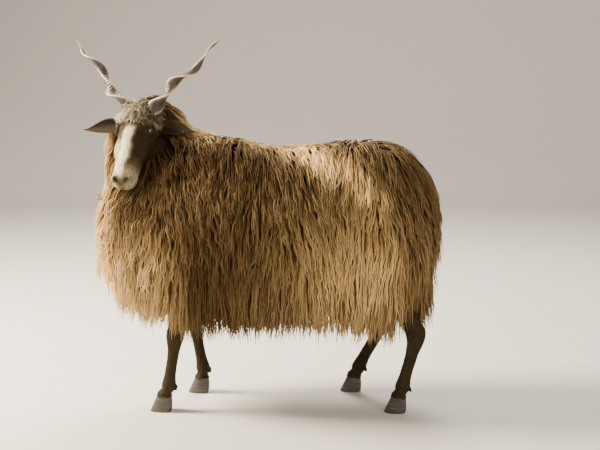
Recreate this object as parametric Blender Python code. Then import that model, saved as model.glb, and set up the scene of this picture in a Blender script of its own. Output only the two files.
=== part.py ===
"""A racka ewe, life size, standing with her head turned to her left. Metres, +Z up, facing -X."""

import math

import bmesh
import bpy
import numpy as np
from mathutils import Matrix, Vector
from mathutils.bvhtree import BVHTree

# Driving sizes
WITHERS = 0.655  # height of the skin over the shoulders
BODY_LENGTH = 0.76  # point of shoulder to pin bone
BODY_FRONT = -0.335  # where the brisket starts
HEAD_LENGTH = 0.236
HORN_LENGTH = 0.252
EAR_LENGTH = 0.110
CORE_SHARE = 0.42  # how much of the coat's depth is solid under the locks
GAP = 0.0003  # between nodes that touch

DOWN = Vector((0, 0, -1))

# Locks of the fleece
LOCK_SPACING = 0.084
NECK_SPACING = 0.056
LOCK_LENGTH = 0.200
LOCK_WIDTH = 0.076
LOCK_THICKNESS = 0.016
LOCK_LIFT = 0.080  # the most a lock stands off the core
LOCK_WAVE = 0.007
LOCK_STEPS = 5
TIP = 0.0030
ROOT_SINK = 0.014  # how deep a root lies in the core
HEM_LOCKS = 24
HEM_OVAL = (0.035, 0.44, 0.28, 0.355)  # lowest row of roots: middle, half length, half width, height
TAIL_LOCKS = 6
TAIL_LOCK = (0.110, 0.040, 0.010)  # length, width, thickness
FORELOCKS = 5
FORELOCK = (0.066, 0.022, 0.012)

# Body sections: place along the body (0 front, 1 rear), top, bottom and half width, as shares of WITHERS,
# then how far the coat reaches past that skin in metres: along the body, over it, under it and to the side
BODY_SECTIONS = [
    (0.000, 0.760, 0.640, 0.045, -0.092, 0.070, 0.060, 0.045),
    (0.050, 0.850, 0.560, 0.110, -0.086, 0.060, 0.070, 0.060),
    (0.170, 0.975, 0.500, 0.175, -0.055, 0.055, 0.070, 0.066),
    (0.300, 1.000, 0.480, 0.208, -0.015, 0.072, 0.060, 0.070),
    (0.500, 0.972, 0.480, 0.236, 0.000, 0.058, 0.052, 0.070),
    (0.680, 0.972, 0.510, 0.230, 0.000, 0.070, 0.072, 0.072),
    (0.820, 0.985, 0.548, 0.205, 0.008, 0.066, 0.120, 0.074),
    (0.920, 0.950, 0.595, 0.170, 0.028, 0.064, 0.155, 0.070),
    (0.980, 0.880, 0.650, 0.110, 0.045, 0.042, 0.150, 0.055),
    (1.000, 0.820, 0.715, 0.050, 0.053, 0.030, 0.060, 0.030),
]

# The neck: centre, half size across and fore and aft, and the depth of its coat
NECK_SECTIONS = [
    ((-0.180, 0.000, 0.500), 0.100, 0.110, 0.055),
    ((-0.225, 0.003, 0.565), 0.086, 0.105, 0.058),
    ((-0.260, 0.026, 0.640), 0.070, 0.080, 0.084),
    ((-0.282, 0.042, 0.705), 0.058, 0.064, 0.072),
    ((-0.283, 0.046, 0.752), 0.047, 0.050, 0.052),
    ((-0.283, 0.036, 0.794), 0.024, 0.026, 0.040),
]

# Where the neck is parted from the trunk
PART_POINT = Vector((-0.235, 0, 0.590))
PART_NORMAL = Vector((-0.616, 0, 0.787)).normalized()

# Height of the hem over the floor from front to rear
HEM_PLACES = [-0.42, -0.30, -0.20, 0.00, 0.20, 0.32, 0.44]
HEM = [0.290, 0.262, 0.228, 0.236, 0.238, 0.195, 0.208]

# The head's own frame: poll, heading and nod
POLL = Vector((-0.303, -0.030, 0.802))
HEAD_YAW = math.radians(74)  # from the body's heading towards its left
HEAD_NOD = math.radians(37)  # of the face from upright
HEADING = Vector((-math.cos(HEAD_YAW), -math.sin(HEAD_YAW), 0))
FACE_DOWN = HEADING * math.sin(HEAD_NOD) + DOWN * math.cos(HEAD_NOD)
FACE_OUT = HEADING * math.cos(HEAD_NOD) - DOWN * math.sin(HEAD_NOD)
HEAD_LEFT = Vector((math.sin(HEAD_YAW), -math.cos(HEAD_YAW), 0))

# Head sections: place down the face as a share of its length, then bridge and throat (out of the face),
# half width, and how much narrower the bridge is
HEAD_SECTIONS = [
    (-0.016, -0.030, -0.054, 0.014, 0.00),
    (0.033, -0.006, -0.082, 0.038, 0.00),
    (0.142, 0.008, -0.104, 0.050, 0.02),
    (0.267, 0.014, -0.112, 0.055, 0.06),
    (0.375, 0.015, -0.110, 0.053, 0.12),
    (0.500, 0.014, -0.094, 0.042, 0.16),
    (0.645, 0.010, -0.074, 0.033, 0.18),
    (0.783, 0.003, -0.063, 0.030, 0.12),
    (0.892, -0.006, -0.060, 0.031, 0.04),
    (0.962, -0.016, -0.056, 0.026, 0.00),
    (1.000, -0.026, -0.046, 0.014, 0.00),
]

# The line of the mouth: place down the face (share), to the side, out of the face
MOUTH_LINE = [
    (0.720, 0.036, -0.047),
    (0.790, 0.034, -0.046),
    (0.870, 0.034, -0.044),
    (0.940, 0.029, -0.042),
    (0.985, 0.016, -0.040),
    (1.000, 0.000, -0.039),
]
MOUTH_DEPTH = 0.005
LIP = 0.0042
NOSTRIL_PLACE = (0.950, 0.0150, -0.0150)
NOSTRIL_SIZE = (0.0030, 0.0060, 0.0090)

RUFF_PLACE = -0.080  # where the wool stops behind the cheeks, out of the face
# Clear spaces round the ears and the face: how far down the face each runs, and its half width at both ends
FACE_ROOMS = [((-0.030, 0.095), (0.175, 0.160)), ((0.090, 0.240), (0.068, 0.045))]

EYE_RADIUS = 0.0130
EYE_PLACE = (0.078, 0.0395, -0.019)  # down the face, to the side, out of the face
LID = 0.0028  # thickness of the lids
EYE_OPENING = (0.0105, 0.0058)  # half length and half height between the lids
EYE_SLANT = math.radians(24)  # the inner corner sits lower on the face

HORN_ROOT = (0.016, 0.031, -0.016)
HORN_SPREAD = math.radians(44)
HORN_BACK = math.radians(-15)
HORN_WIDTH = 0.041
HORN_THICKNESS = 0.022
HORN_TURNS = 1.75
HORN_SWAY = 0.009

EAR_ROOT = (0.050, 0.048, -0.044)
EAR_WIDTH = 0.046
EAR_WALL = 0.0035
EAR_DROOP = math.radians(6)

HOOF_HEIGHT = 0.042
CLEFT = 0.004
# Dewclaws: how far below the fetlock, how far behind the leg's skin, and half width
DEWCLAW_RINGS = [(-0.007, -0.012, 0.0055), (0.002, -0.004, 0.0065), (0.010, 0.0005, 0.0040)]

# Legs: joints from the top down as (place, half size fore and aft, half size across)
FORELEG_SIZES = [
    (0.0360, 0.0300),
    (0.0270, 0.0240),
    (0.0215, 0.0200),
    (0.0225, 0.0215),
    (0.0150, 0.0150),
    (0.0145, 0.0145),
    (0.0185, 0.0190),
    (0.0150, 0.0175),
    (0.0200, 0.0225),
]
HINDLEG_SIZES = [
    (0.0480, 0.0340),
    (0.0360, 0.0280),
    (0.0240, 0.0200),
    (0.0240, 0.0190),
    (0.0165, 0.0155),
    (0.0155, 0.0150),
    (0.0190, 0.0190),
    (0.0155, 0.0175),
    (0.0205, 0.0225),
]


def to_head(down, side, out):
    """A point given in the head's frame."""
    return POLL + FACE_DOWN * down + HEAD_LEFT * side + FACE_OUT * out


def smooth_rows(rows, steps):
    """Rows of numbers read more finely along a smooth curve through them."""
    rows = np.asarray(rows, float)
    knots = np.arange(len(rows))
    slopes = np.gradient(rows, axis=0)
    out = []
    for t in np.linspace(0, len(rows) - 1, steps):
        i = min(int(t), len(rows) - 2)
        u = t - knots[i]
        out.append(
            rows[i] * (2 * u**3 - 3 * u**2 + 1)
            + slopes[i] * (u**3 - 2 * u**2 + u)
            + rows[i + 1] * (3 * u**2 - 2 * u**3)
            + slopes[i + 1] * (u**3 - u**2)
        )
    return np.array(out)


def rounded(angle, power):
    """Cosine and sine of a superellipse's angle, fuller than a circle's for a power over 2."""
    c, s = math.cos(angle), math.sin(angle)
    return (
        math.copysign(abs(c) ** (2 / power), c),
        math.copysign(abs(s) ** (2 / power), s),
    )


def paint(name, colour, roughness):
    material = bpy.data.materials.new(name)
    material.use_nodes = True
    shader = material.node_tree.nodes["Principled BSDF"]
    shader.inputs["Base Color"].default_value = (*colour, 1)
    shader.inputs["Roughness"].default_value = roughness
    return material


def add_object(name, mesh, material=None):
    obj = bpy.data.objects.new(name, mesh)
    bpy.context.scene.collection.objects.link(obj)
    if material:
        mesh.materials.append(material)
    return obj


def loft(name, rings, material=None):
    """A closed solid through rings of points that match one to one, with a flat cap on each end."""
    bm = bmesh.new()
    loops = [[bm.verts.new(p) for p in ring] for ring in rings]
    count = len(loops[0])
    for a, b in zip(loops, loops[1:]):
        for i in range(count):
            j = (i + 1) % count
            bm.faces.new((a[i], a[j], b[j]))
            bm.faces.new((a[i], b[j], b[i]))
    bm.faces.new(loops[0])
    bm.faces.new(loops[-1])
    bmesh.ops.recalc_face_normals(bm, faces=bm.faces)
    mesh = bpy.data.meshes.new(name)
    bm.to_mesh(mesh)
    bm.free()
    mesh.shade_smooth()
    return add_object(name, mesh, material)


def hull(name, rings):
    """The closed skin stretched over all the rings' points."""
    bm = bmesh.new()
    verts = [bm.verts.new(p) for ring in rings for p in ring]
    made = bmesh.ops.convex_hull(bm, input=verts)
    inside = set(made["geom_interior"]) | set(made["geom_unused"])
    bmesh.ops.delete(bm, geom=[v for v in inside if isinstance(v, bmesh.types.BMVert)])
    bmesh.ops.recalc_face_normals(bm, faces=bm.faces)
    mesh = bpy.data.meshes.new(name)
    bm.to_mesh(mesh)
    bm.free()
    return add_object(name, mesh)


def bake(obj):
    """Turns an object's modifiers into its mesh."""
    bpy.context.view_layer.update()
    graph = bpy.context.evaluated_depsgraph_get()
    mesh = bpy.data.meshes.new_from_object(obj.evaluated_get(graph))
    obj.modifiers.clear()
    obj.data = mesh


def join(obj, others, solver="MANIFOLD"):
    """Unites the others with obj in one step, and removes them."""
    group = bpy.data.collections.new(obj.name + "_pieces")
    for other in others:
        group.objects.link(other)
    boolean = obj.modifiers.new("join", "BOOLEAN")
    boolean.operation = "UNION"
    boolean.operand_type = "COLLECTION"
    boolean.collection = group
    boolean.solver = solver
    bake(obj)
    for other in others:
        bpy.data.objects.remove(other)
    bpy.data.collections.remove(group)


def cut(obj, cutters, operation="DIFFERENCE", solver="EXACT"):
    """Cuts obj with each cutter in turn, and removes the cutters."""
    for cutter in cutters:
        boolean = obj.modifiers.new("cut", "BOOLEAN")
        boolean.operation = operation
        boolean.object = cutter
        boolean.solver = solver
        bake(obj)
        bpy.data.objects.remove(cutter)


def keep_largest(obj):
    """Leaves only the largest closed surface of the mesh."""
    bm = bmesh.new()
    bm.from_mesh(obj.data)
    left = set(bm.verts)
    shells = []
    while left:
        shell, front = set(), [next(iter(left))]
        while front:
            vert = front.pop()
            if vert in shell:
                continue
            shell.add(vert)
            front.extend(edge.other_vert(vert) for edge in vert.link_edges)
        shells.append(shell)
        left -= shell
    biggest = max(shells, key=len)
    bmesh.ops.delete(bm, geom=[v for v in bm.verts if v not in biggest])
    bm.to_mesh(obj.data)
    bm.free()


def body_rings(cover, count=22, steps=19):
    """Rings of the trunk; cover is how much of the coat's depth lies over the skin."""
    rings = []
    for row in smooth_rows(BODY_SECTIONS, steps):
        place, top, bottom, half, past, over, under, beside = row
        x = BODY_FRONT + BODY_LENGTH * place + past * cover
        high, low = top * WITHERS + over * cover, bottom * WITHERS - under * cover
        wide = half * WITHERS + beside * cover
        ring = []
        for k in range(count):
            angle = 2 * math.pi * k / count
            c, s = rounded(angle, 2.3 if math.sin(angle) > 0 else 2.3 + 0.7 * cover)
            ring.append(Vector((x, wide * c, (high + low) / 2 + (high - low) / 2 * s)))
        rings.append(ring)
    return rings


def neck_rings(cover, count=20, steps=12):
    rows = [[*centre, side, fore, coat] for centre, side, fore, coat in NECK_SECTIONS]
    rows = smooth_rows(rows, steps)
    rings = []
    for i, (x, y, z, side, fore, coat) in enumerate(rows):
        centre = Vector((x, y, z))
        ahead = Vector(rows[min(i + 1, steps - 1)][:3]) - Vector(rows[max(i - 1, 0)][:3])
        across = Vector((0, 1, 0)).cross(ahead).normalized()
        lateral = ahead.cross(across).normalized()
        ring = []
        for k in range(count):
            c, s = rounded(2 * math.pi * k / count, 2.1)
            wide, deep = side + coat * cover, fore + coat * cover
            ring.append(centre + lateral * wide * c + across * deep * s)
        rings.append(ring)
    return rings


def head_rings(grow=0.0, count=18, steps=20):
    rings = []
    for share, bridge, throat, half, narrow in smooth_rows(HEAD_SECTIONS, steps):
        down = share * HEAD_LENGTH
        mid, tall = (bridge + throat) / 2, (bridge - throat) / 2 + grow
        ring = []
        for k in range(count):
            c, s = rounded(2 * math.pi * k / count, 2.25)
            ring.append(to_head(down, (half * (1 - narrow * s) + grow) * c, mid + tall * s))
        rings.append(ring)
    return rings


def horn_rings(side, grow=0.0, count=8, steps=27):
    """A flat blade that winds round its own line, thick at the root and pointed at the tip."""
    up = -FACE_DOWN
    lean = up * math.cos(HORN_SPREAD) + HEAD_LEFT * side * math.sin(HORN_SPREAD)
    line = (lean - FACE_OUT * math.sin(HORN_BACK)).normalized()
    first = line.cross(FACE_OUT).normalized()
    second = line.cross(first)
    down, out_side, out = HORN_ROOT
    root = to_head(down, side * out_side, out)
    rings = []
    for i in range(steps):
        t = i / (steps - 1)
        turn = side * 2 * math.pi * HORN_TURNS * t
        size = (1 - t) ** 0.8 * 0.96 + 0.04
        wide = HORN_WIDTH / 2 * size + grow
        thick = HORN_THICKNESS / 2 * size + grow
        swing = HORN_SWAY * math.sin(math.pi * t)
        centre = root + line * (HORN_LENGTH * t - (0 if i else grow))
        centre += (first * math.cos(turn) + second * math.sin(turn)) * swing
        flat = first * math.cos(turn) + second * math.sin(turn)
        edge = line.cross(flat)
        ring = []
        for k in range(count):
            c, s = rounded(2 * math.pi * k / count, 1.6)
            ring.append(centre + flat * wide * c + edge * thick * s)
        rings.append(ring)
    return rings


def ear_rings(side, grow=0.0, steps=10):
    """A leaf-shaped cup, hollow towards the front, its wall as thick as a real ear's."""
    along = HEAD_LEFT * side * math.cos(EAR_DROOP) + FACE_DOWN * math.sin(EAR_DROOP)
    hollow = (FACE_OUT - along * FACE_OUT.dot(along)).normalized()
    rim = along.cross(hollow)
    down, out_side, out = EAR_ROOT
    root = to_head(down, side * out_side, out)
    rings = []
    for i in range(steps):
        t = i / (steps - 1)
        half = EAR_WIDTH / 2 * (0.42 + 0.58 * math.sin(math.pi * min(1, t * 1.15) ** 0.9))
        half = max(half * (1 - t**4), 0.0015)
        cup = math.radians(150 - 70 * t)  # how far round the wall curls
        radius = half / math.sin(min(cup, math.pi) / 2)
        wall = min(EAR_WALL, half)
        ring = []
        for outer, turns in ((True, range(-3, 4)), (False, range(2, -3, -1))):
            for k in turns:
                angle = (cup / 2 + 2 * grow / radius) * k / (3 if outer else 2.6)
                reach = radius + grow if outer else radius - wall - grow
                place = root + along * (EAR_LENGTH * t - (0 if i else grow))
                place += rim * reach * math.sin(angle)
                place += hollow * (radius - reach * math.cos(angle) - wall)
                ring.append(place)
        rings.append(ring)
    return rings


def leg_rings(joints, sizes, grow=0.0, count=10, steps=17):
    rows = smooth_rows([[*place, fore, side] for place, (fore, side) in zip(joints, sizes)], steps)
    rings = []
    for i, (x, y, z, fore, side) in enumerate(rows):
        ahead = Vector(rows[min(i + 1, steps - 1)][:3]) - Vector(rows[max(i - 1, 0)][:3])
        if i == 0:
            z += grow
        if i == steps - 1:
            ahead = DOWN
            z = HOOF_HEIGHT - grow
        lengthwise = Vector((0, 1, 0)).cross(ahead).normalized()
        ring = []
        for k in range(count):
            angle = 2 * math.pi * k / count
            ring.append(
                Vector((x, y, z))
                + lengthwise * (fore + grow) * math.cos(angle)
                + Vector((0, 1, 0)) * (side + grow) * math.sin(angle)
            )
        rings.append(ring)
    return rings


def foreleg_joints(side, elbow, knee, fetlock, sole):
    """Places of the foreleg's rings, from the x of its joints."""
    y = side * 0.088
    return [
        (elbow, y * 0.95, 0.370),
        (elbow * 0.6 + knee * 0.4, y * 0.97, 0.300),
        (elbow * 0.2 + knee * 0.8, y, 0.240),
        (knee, y, 0.200),
        (knee * 0.7 + fetlock * 0.3, y, 0.155),
        (knee * 0.25 + fetlock * 0.75, y, 0.100),
        (fetlock, y, 0.068),
        (fetlock * 0.6 + sole * 0.4, y, 0.054),
        (fetlock * 0.2 + sole * 0.8, y, HOOF_HEIGHT),
    ]


def hindleg_joints(side, stifle, hock, fetlock, sole):
    y = side * 0.100
    return [
        (stifle, y * 0.95, 0.400),
        (stifle * 0.6 + hock * 0.4, y, 0.320),
        (stifle * 0.15 + hock * 0.85, y, 0.240),
        (hock, y, 0.200),
        (hock * 0.72 + fetlock * 0.28, y, 0.155),
        (hock * 0.25 + fetlock * 0.75, y, 0.100),
        (fetlock, y, 0.068),
        (fetlock * 0.6 + sole * 0.4, y, 0.054),
        (fetlock * 0.2 + sole * 0.8, y, HOOF_HEIGHT),
    ]


LEGS = {
    "leg_fore_left": (foreleg_joints(-1, -0.172, -0.213, -0.232, -0.246), FORELEG_SIZES),
    "leg_fore_right": (foreleg_joints(1, -0.176, -0.178, -0.156, -0.160), FORELEG_SIZES),
    "leg_hind_left": (hindleg_joints(-1, 0.300, 0.408, 0.376, 0.364), HINDLEG_SIZES),
    "leg_hind_right": (hindleg_joints(1, 0.230, 0.336, 0.272, 0.256), HINDLEG_SIZES),
}


def claw_rings(coronet_x, y, side, count=9, steps=4):
    """One claw of a cloven hoof, flat inside and on the ground, longer towards the toe."""
    rings = []
    for i in range(steps):
        t = i / (steps - 1)
        z = (HOOF_HEIGHT - GAP) * (1 - t)
        toe = coronet_x - 0.0190 - 0.0190 * t
        heel = coronet_x + 0.0180 + 0.0020 * math.sin(math.pi * t)
        inner, wide = y + side * CLEFT / 2, 0.0185 + 0.0045 * t
        ring = []
        for k in range(count):
            angle = math.pi * k / (count - 1)
            c, s = math.cos(angle), math.sin(angle)
            along = (toe + heel) / 2 + (heel - toe) / 2 * c
            taper = 1 - 0.30 * (1 - c) / 2
            ring.append(Vector((along, inner + side * wide * taper * s**0.75, z)))
        rings.append(ring)
    return rings


def tail_rings(count=10, steps=9):
    """Rings of the tail under its locks, which hangs from behind the rump."""
    rings = []
    for i in range(steps):
        t = i / (steps - 1)
        x = 0.405 + 0.050 * math.sin(min(1.0, t * 2.4) * math.pi / 2) - 0.016 * t
        z = 0.595 - 0.265 * t
        half = 0.014 * (1 - 0.5 * t) + 0.010 * math.sin(math.pi * (0.2 + 0.72 * t))
        ring = []
        for k in range(count):
            angle = 2 * math.pi * k / count
            ring.append(Vector((x + half * math.cos(angle), half * 1.25 * math.sin(angle), z)))
        rings.append(ring)
    return rings


def ball(name, centre, radius, material=None, segments=14, rings=8):
    bm = bmesh.new()
    bmesh.ops.create_uvsphere(bm, u_segments=segments, v_segments=rings, radius=radius)
    mesh = bpy.data.meshes.new(name)
    bm.to_mesh(mesh)
    bm.free()
    mesh.transform(Matrix.Translation(centre))
    mesh.shade_smooth()
    return add_object(name, mesh, material)


def half_space(name, point, normal, size=3.0):
    """A large block whose top face passes through the point, facing along the normal."""
    bm = bmesh.new()
    bmesh.ops.create_cube(bm, size=size)
    mesh = bpy.data.meshes.new(name)
    bm.to_mesh(mesh)
    bm.free()
    turn = normal.to_track_quat("Z", "Y").to_matrix().to_4x4()
    mesh.transform(Matrix.Translation(point - normal * size / 2) @ turn)
    return add_object(name, mesh)


def eye_centre(side):
    down, out_side, out = EYE_PLACE
    return to_head(down, side * out_side, out)


def surface_of(obj):
    """Something to ask for the nearest place on an object's skin."""
    return BVHTree.FromPolygons(
        [v.co for v in obj.data.vertices], [p.vertices for p in obj.data.polygons]
    )


def hem_height(x):
    """How low the coat hangs along the body."""
    return float(np.interp(x, HEM_PLACES, HEM))


def lie_of(place, normal):
    """The way the wool lies: down the flank and a little back, off the spine to both sides."""
    fall = Vector((0.14, math.copysign(0.6, place.y) * max(0, normal.z), -1))
    return (fall - normal * fall.dot(normal)).normalized()


def lock_path(core, root, normal, length, lift, drift, lie=lie_of, sink=ROOT_SINK, steps=LOCK_STEPS):
    """Points down one lock from its sunk root, close over the core and then hanging free."""
    points = [root - normal * sink]
    place, step = root.copy(), length / steps
    hanging = False
    for i in range(1, steps + 1):
        if not hanging:
            place = place + (lie(place, normal) + Vector((drift, 0, 0))).normalized() * step
            near, normal, _, _ = core.find_nearest(place)
            hanging = normal.z < -0.12
            place = near + normal * lift * (i / steps) ** 0.5
        else:
            place = place + (DOWN + Vector((drift * 0.5, 0, 0))) * step
        points.append(place.copy())
    return points


def lock(points, normal, width, thickness, wave):
    """A flat tapered lock with a ridge along its outer face, which bends along its points to a fine tip."""
    rings = []
    last = len(points) - 1
    for i, point in enumerate(points):
        t = i / last
        ahead = (points[min(i + 1, last)] - points[max(i - 1, 0)]).normalized()
        across = ahead.cross(normal).normalized()
        out = across.cross(ahead)
        wide = width / 2 * (0.62 + 0.38 * math.sin(math.pi * min(1, 0.15 + t))) * (1 - t**3.2)
        thick = thickness * (1 - 0.6 * t)
        if i == last:
            wide = thick = TIP
        centre = point + across * wave * math.sin(2 * math.pi * t)
        under = centre - out * thick * 0.4
        rings.append([under + across * wide, centre + out * thick * 0.6, under - across * wide])
    return loft("lock", rings)


def scatter(obj, kept, keep, spacing, chance, tries=9000):
    """Adds places set evenly over an object's skin to those kept, no two closer than the spacing."""
    obj.data.calc_loop_triangles()
    triangles = [t for t in obj.data.loop_triangles]
    areas = np.cumsum([t.area for t in triangles])
    verts = [v.co for v in obj.data.vertices]
    for _ in range(tries):
        pick = triangles[int(np.searchsorted(areas, chance.random() * areas[-1]))]
        a, b, c = (verts[i] for i in pick.vertices)
        u, v = sorted((chance.random(), chance.random()))
        place = a * u + b * (v - u) + c * (1 - v)
        if not keep(place, pick.normal):
            continue
        gap = spacing(place)
        if all((place - other).length > gap for other, _ in kept):
            kept.append((place, pick.normal.copy()))


def on_neck(place):
    return (place - PART_POINT).dot(PART_NORMAL) > 0


def face_room_rings(downs, reaches):
    """A clear space in front of the ruff, widening forwards."""
    rings = []
    for ahead, spread in ((0.0, 0.0), (0.30, 0.10)):
        ring = []
        for down, reach in zip(downs, reaches):
            ring += [to_head(down, side * (reach + spread), RUFF_PLACE + ahead) for side in (-1, 1)]
        rings.append(ring)
    return rings


def in_face_room(place):
    """Whether a place lies in one of the clear spaces round the face."""
    spot = place - POLL
    down, side, out = spot.dot(FACE_DOWN), abs(spot.dot(HEAD_LEFT)), spot.dot(FACE_OUT)
    for downs, reaches in FACE_ROOMS:
        reach = float(np.interp(down, downs, reaches)) + max(0, out - RUFF_PLACE) / 3
        if downs[0] < down < downs[1] and out > RUFF_PLACE and side < reach:
            return True
    return False


def hem_roots(core):
    """Roots of the lowest row, evenly round the trunk."""
    roots = []
    middle, half_length, half_width, height = HEM_OVAL
    for i in range(HEM_LOCKS):
        c, s = rounded(2 * math.pi * (i + 0.5) / HEM_LOCKS, 5)
        spot = Vector((middle + half_length * c, half_width * s, height))
        place, normal, _, _ = core.find_nearest(spot)
        roots.append((place, normal))
    return roots


def grow_locks(fleece, tips):
    """The trunk's and neck's locks, each from its root on the core to its tip at the coat's outside."""
    core = surface_of(fleece)
    chance = np.random.default_rng(7)

    def spacing(place):
        return NECK_SPACING if on_neck(place) else LOCK_SPACING

    def bears_wool(place, normal):
        return normal.z > -0.62 and not in_face_room(place)

    roots = hem_roots(core)
    scatter(fleece, roots, bears_wool, spacing, chance)
    locks = []
    for root, normal in roots:
        hit, _, _, reach = tips.ray_cast(root + normal * 0.001, normal, 0.2)
        lift = min(reach if hit else LOCK_LIFT / 2, LOCK_LIFT) - LOCK_THICKNESS * 0.4
        size = NECK_SPACING / LOCK_SPACING if on_neck(root) else 1.0
        length = LOCK_LENGTH * size * chance.uniform(0.85, 1.15)
        drift = chance.uniform(-0.12, 0.12)
        points = lock_path(core, root, normal, length, lift, drift)
        low = hem_height(points[-1].x) + chance.uniform(-0.012, 0.016)
        if points[-1].z < low:
            length *= max(0.3, (root.z - low) / (root.z - points[-1].z))
            points = lock_path(core, root, normal, length, lift, drift)
        while any(in_face_room(point) for point in points[1:]) and length > 0.06:
            length *= 0.8
            points = lock_path(core, root, normal, length, lift * 0.6, drift)
        width = LOCK_WIDTH * size * chance.uniform(0.9, 1.1)
        wave = chance.uniform(-LOCK_WAVE, LOCK_WAVE)
        locks.append(lock(points, normal, width, LOCK_THICKNESS, wave))
    return locks


def make_fleece():
    """Trunk and neck under their locks, as one body."""
    fleece = loft("fleece", body_rings(CORE_SHARE))
    join(fleece, [loft("neck_core", neck_rings(CORE_SHARE))])
    outside = loft("outside", body_rings(1.0))
    join(outside, [loft("neck_outside", neck_rings(1.0))])
    tips = surface_of(outside)
    bpy.data.objects.remove(outside)
    locks = grow_locks(fleece, tips)
    join(fleece, locks)
    return fleece


def head_cutters(grow):
    """What the neck's coat keeps clear of."""
    cutters = [loft("head_room", head_rings(grow))]
    for side in (-1, 1):
        cutters.append(loft("horn_room", horn_rings(side, grow)))
        cutters.append(hull("ear_room", ear_rings(side, 3 * grow)))
        cutters.append(ball("eye_room", eye_centre(side), EYE_RADIUS + grow))
    cutters += [hull("face_room", face_room_rings(*room)) for room in FACE_ROOMS]
    return cutters


def make_tail(wool):
    """The tail under its own locks, which hang from its back and sides."""
    tail = loft("tail", tail_rings(), wool)
    core = surface_of(tail)
    length, width, thickness = TAIL_LOCK
    locks = []
    for i in range(TAIL_LOCKS):
        t = i / (TAIL_LOCKS - 1)
        turn = (0, -0.9, 0.9)[i % 3]
        root, normal, _, _ = core.find_nearest(Vector((0.47, 0.05 * turn, 0.560 - 0.200 * t)))
        reach = length * (1 - 0.18 * t)
        points = lock_path(core, root, normal, reach, thickness, 0, sink=ROOT_SINK / 2, steps=4)
        locks.append(lock(points, normal, width, thickness, LOCK_WAVE / 2))
    join(tail, locks)


def tail_room():
    """The clear space round the tail and its locks."""
    room = hull("tail_room", [[v.co.copy() for v in bpy.data.objects["tail"].data.vertices]])
    for vert in room.data.vertices:
        vert.co += vert.normal * 2 * GAP
    return room


def make_trunk_and_neck(wool):
    """The fleece parted by a thin cut from the withers to the chest, and cleared of the limbs."""
    whole = make_fleece()
    neck = add_object("neck", whole.data.copy(), wool)
    whole.name = "torso"
    whole.data.materials.append(wool)
    below = half_space("below", PART_POINT, PART_NORMAL)
    above = half_space("above", PART_POINT + PART_NORMAL * GAP, -PART_NORMAL)
    cut(whole, [below], "INTERSECT")
    cut(neck, [above], "INTERSECT")
    cut(neck, head_cutters(GAP))
    limbs = [loft("limb_room", leg_rings(joints, sizes, GAP)) for joints, sizes in LEGS.values()]
    cut(whole, [*limbs, tail_room()])
    keep_largest(whole)
    keep_largest(neck)


def eye_opening(name, side):
    """An almond-shaped plug that parts the lids, from the eye's middle outwards."""
    outward = (HEAD_LEFT * side * 0.90 + FACE_OUT * 0.42).normalized()
    along = (FACE_DOWN * math.cos(EYE_SLANT) + FACE_OUT * math.sin(EYE_SLANT)).normalized()
    along = (along - outward * along.dot(outward)).normalized()
    across = outward.cross(along)
    half_length, half_height = EYE_OPENING
    rings = []
    for reach, spread in ((0.004, 0.5), (0.030, 1.7)):
        ring = []
        for k in range(12):
            angle = 2 * math.pi * k / 12
            c, s = math.cos(angle), math.sin(angle)
            height = half_height * s * abs(s) ** 0.4
            ring.append(
                eye_centre(side) + outward * reach + (along * half_length * c + across * height) * spread
            )
        rings.append(ring)
    return loft(name, rings)


def mouth_path(steps=13):
    """Points round the mouth from corner to corner, each with the skin's normal there."""
    half = [(down * HEAD_LENGTH, side, out) for down, side, out in MOUTH_LINE]
    line = half + [(down, -side, out) for down, side, out in half[-2::-1]]
    skin = loft("skin", head_rings())
    surface = surface_of(skin)
    bpy.data.objects.remove(skin)
    path = []
    for down, side, out in smooth_rows(line, steps):
        place, normal, _, _ = surface.find_nearest(to_head(down, side, out))
        path.append((place, normal))
    return path


def along_path(path, i):
    ahead = path[min(i + 1, len(path) - 1)][0] - path[max(i - 1, 0)][0]
    return ahead.normalized()


def mouth_groove(path):
    """A wedge that cuts the line between the lips."""
    rings = []
    for i, (place, normal) in enumerate(path):
        across = along_path(path, i).cross(normal).normalized()
        ends = min(i, len(path) - 1 - i)
        depth = MOUTH_DEPTH * min(1, 0.4 + 0.3 * ends)
        top = place + normal * 0.004
        rings.append([place - normal * depth, top + across * 0.0016, top - across * 0.0016])
    return loft("mouth", rings)


def lip_tube(path, lift):
    """A soft ridge beside the line of the mouth."""
    rings = []
    for i, (place, normal) in enumerate(path):
        across = along_path(path, i).cross(normal).normalized()
        ends = min(i, len(path) - 1 - i)
        radius = LIP * min(1, 0.5 + 0.25 * ends)
        centre = place + across * lift - normal * radius * 0.55
        ring = []
        for k in range(5):
            angle = 2 * math.pi * k / 5
            ring.append(centre + (normal * math.cos(angle) + across * math.sin(angle)) * radius)
        rings.append(ring)
    return loft("lip", rings)


def nostril(side):
    """A comma-shaped hollow, as a flattened ball turned outwards at its top."""
    down, out_side, out = NOSTRIL_PLACE
    hollow = ball("nostril", Vector(), 1.0, segments=10, rings=6)
    wide, deep, tall = NOSTRIL_SIZE
    hollow.data.transform(Matrix.Diagonal((wide, deep, tall, 1)))
    lean = (-FACE_DOWN + HEAD_LEFT * side * 0.75 + FACE_OUT * 0.2).normalized()
    inward = (FACE_OUT + FACE_DOWN * 0.8).normalized()
    inward = (inward - lean * inward.dot(lean)).normalized()
    turn = Matrix((inward.cross(lean), inward, lean)).transposed().to_4x4()
    centre = to_head(down * HEAD_LENGTH, side * out_side, out)
    hollow.data.transform(Matrix.Translation(centre) @ turn)
    return hollow


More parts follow.
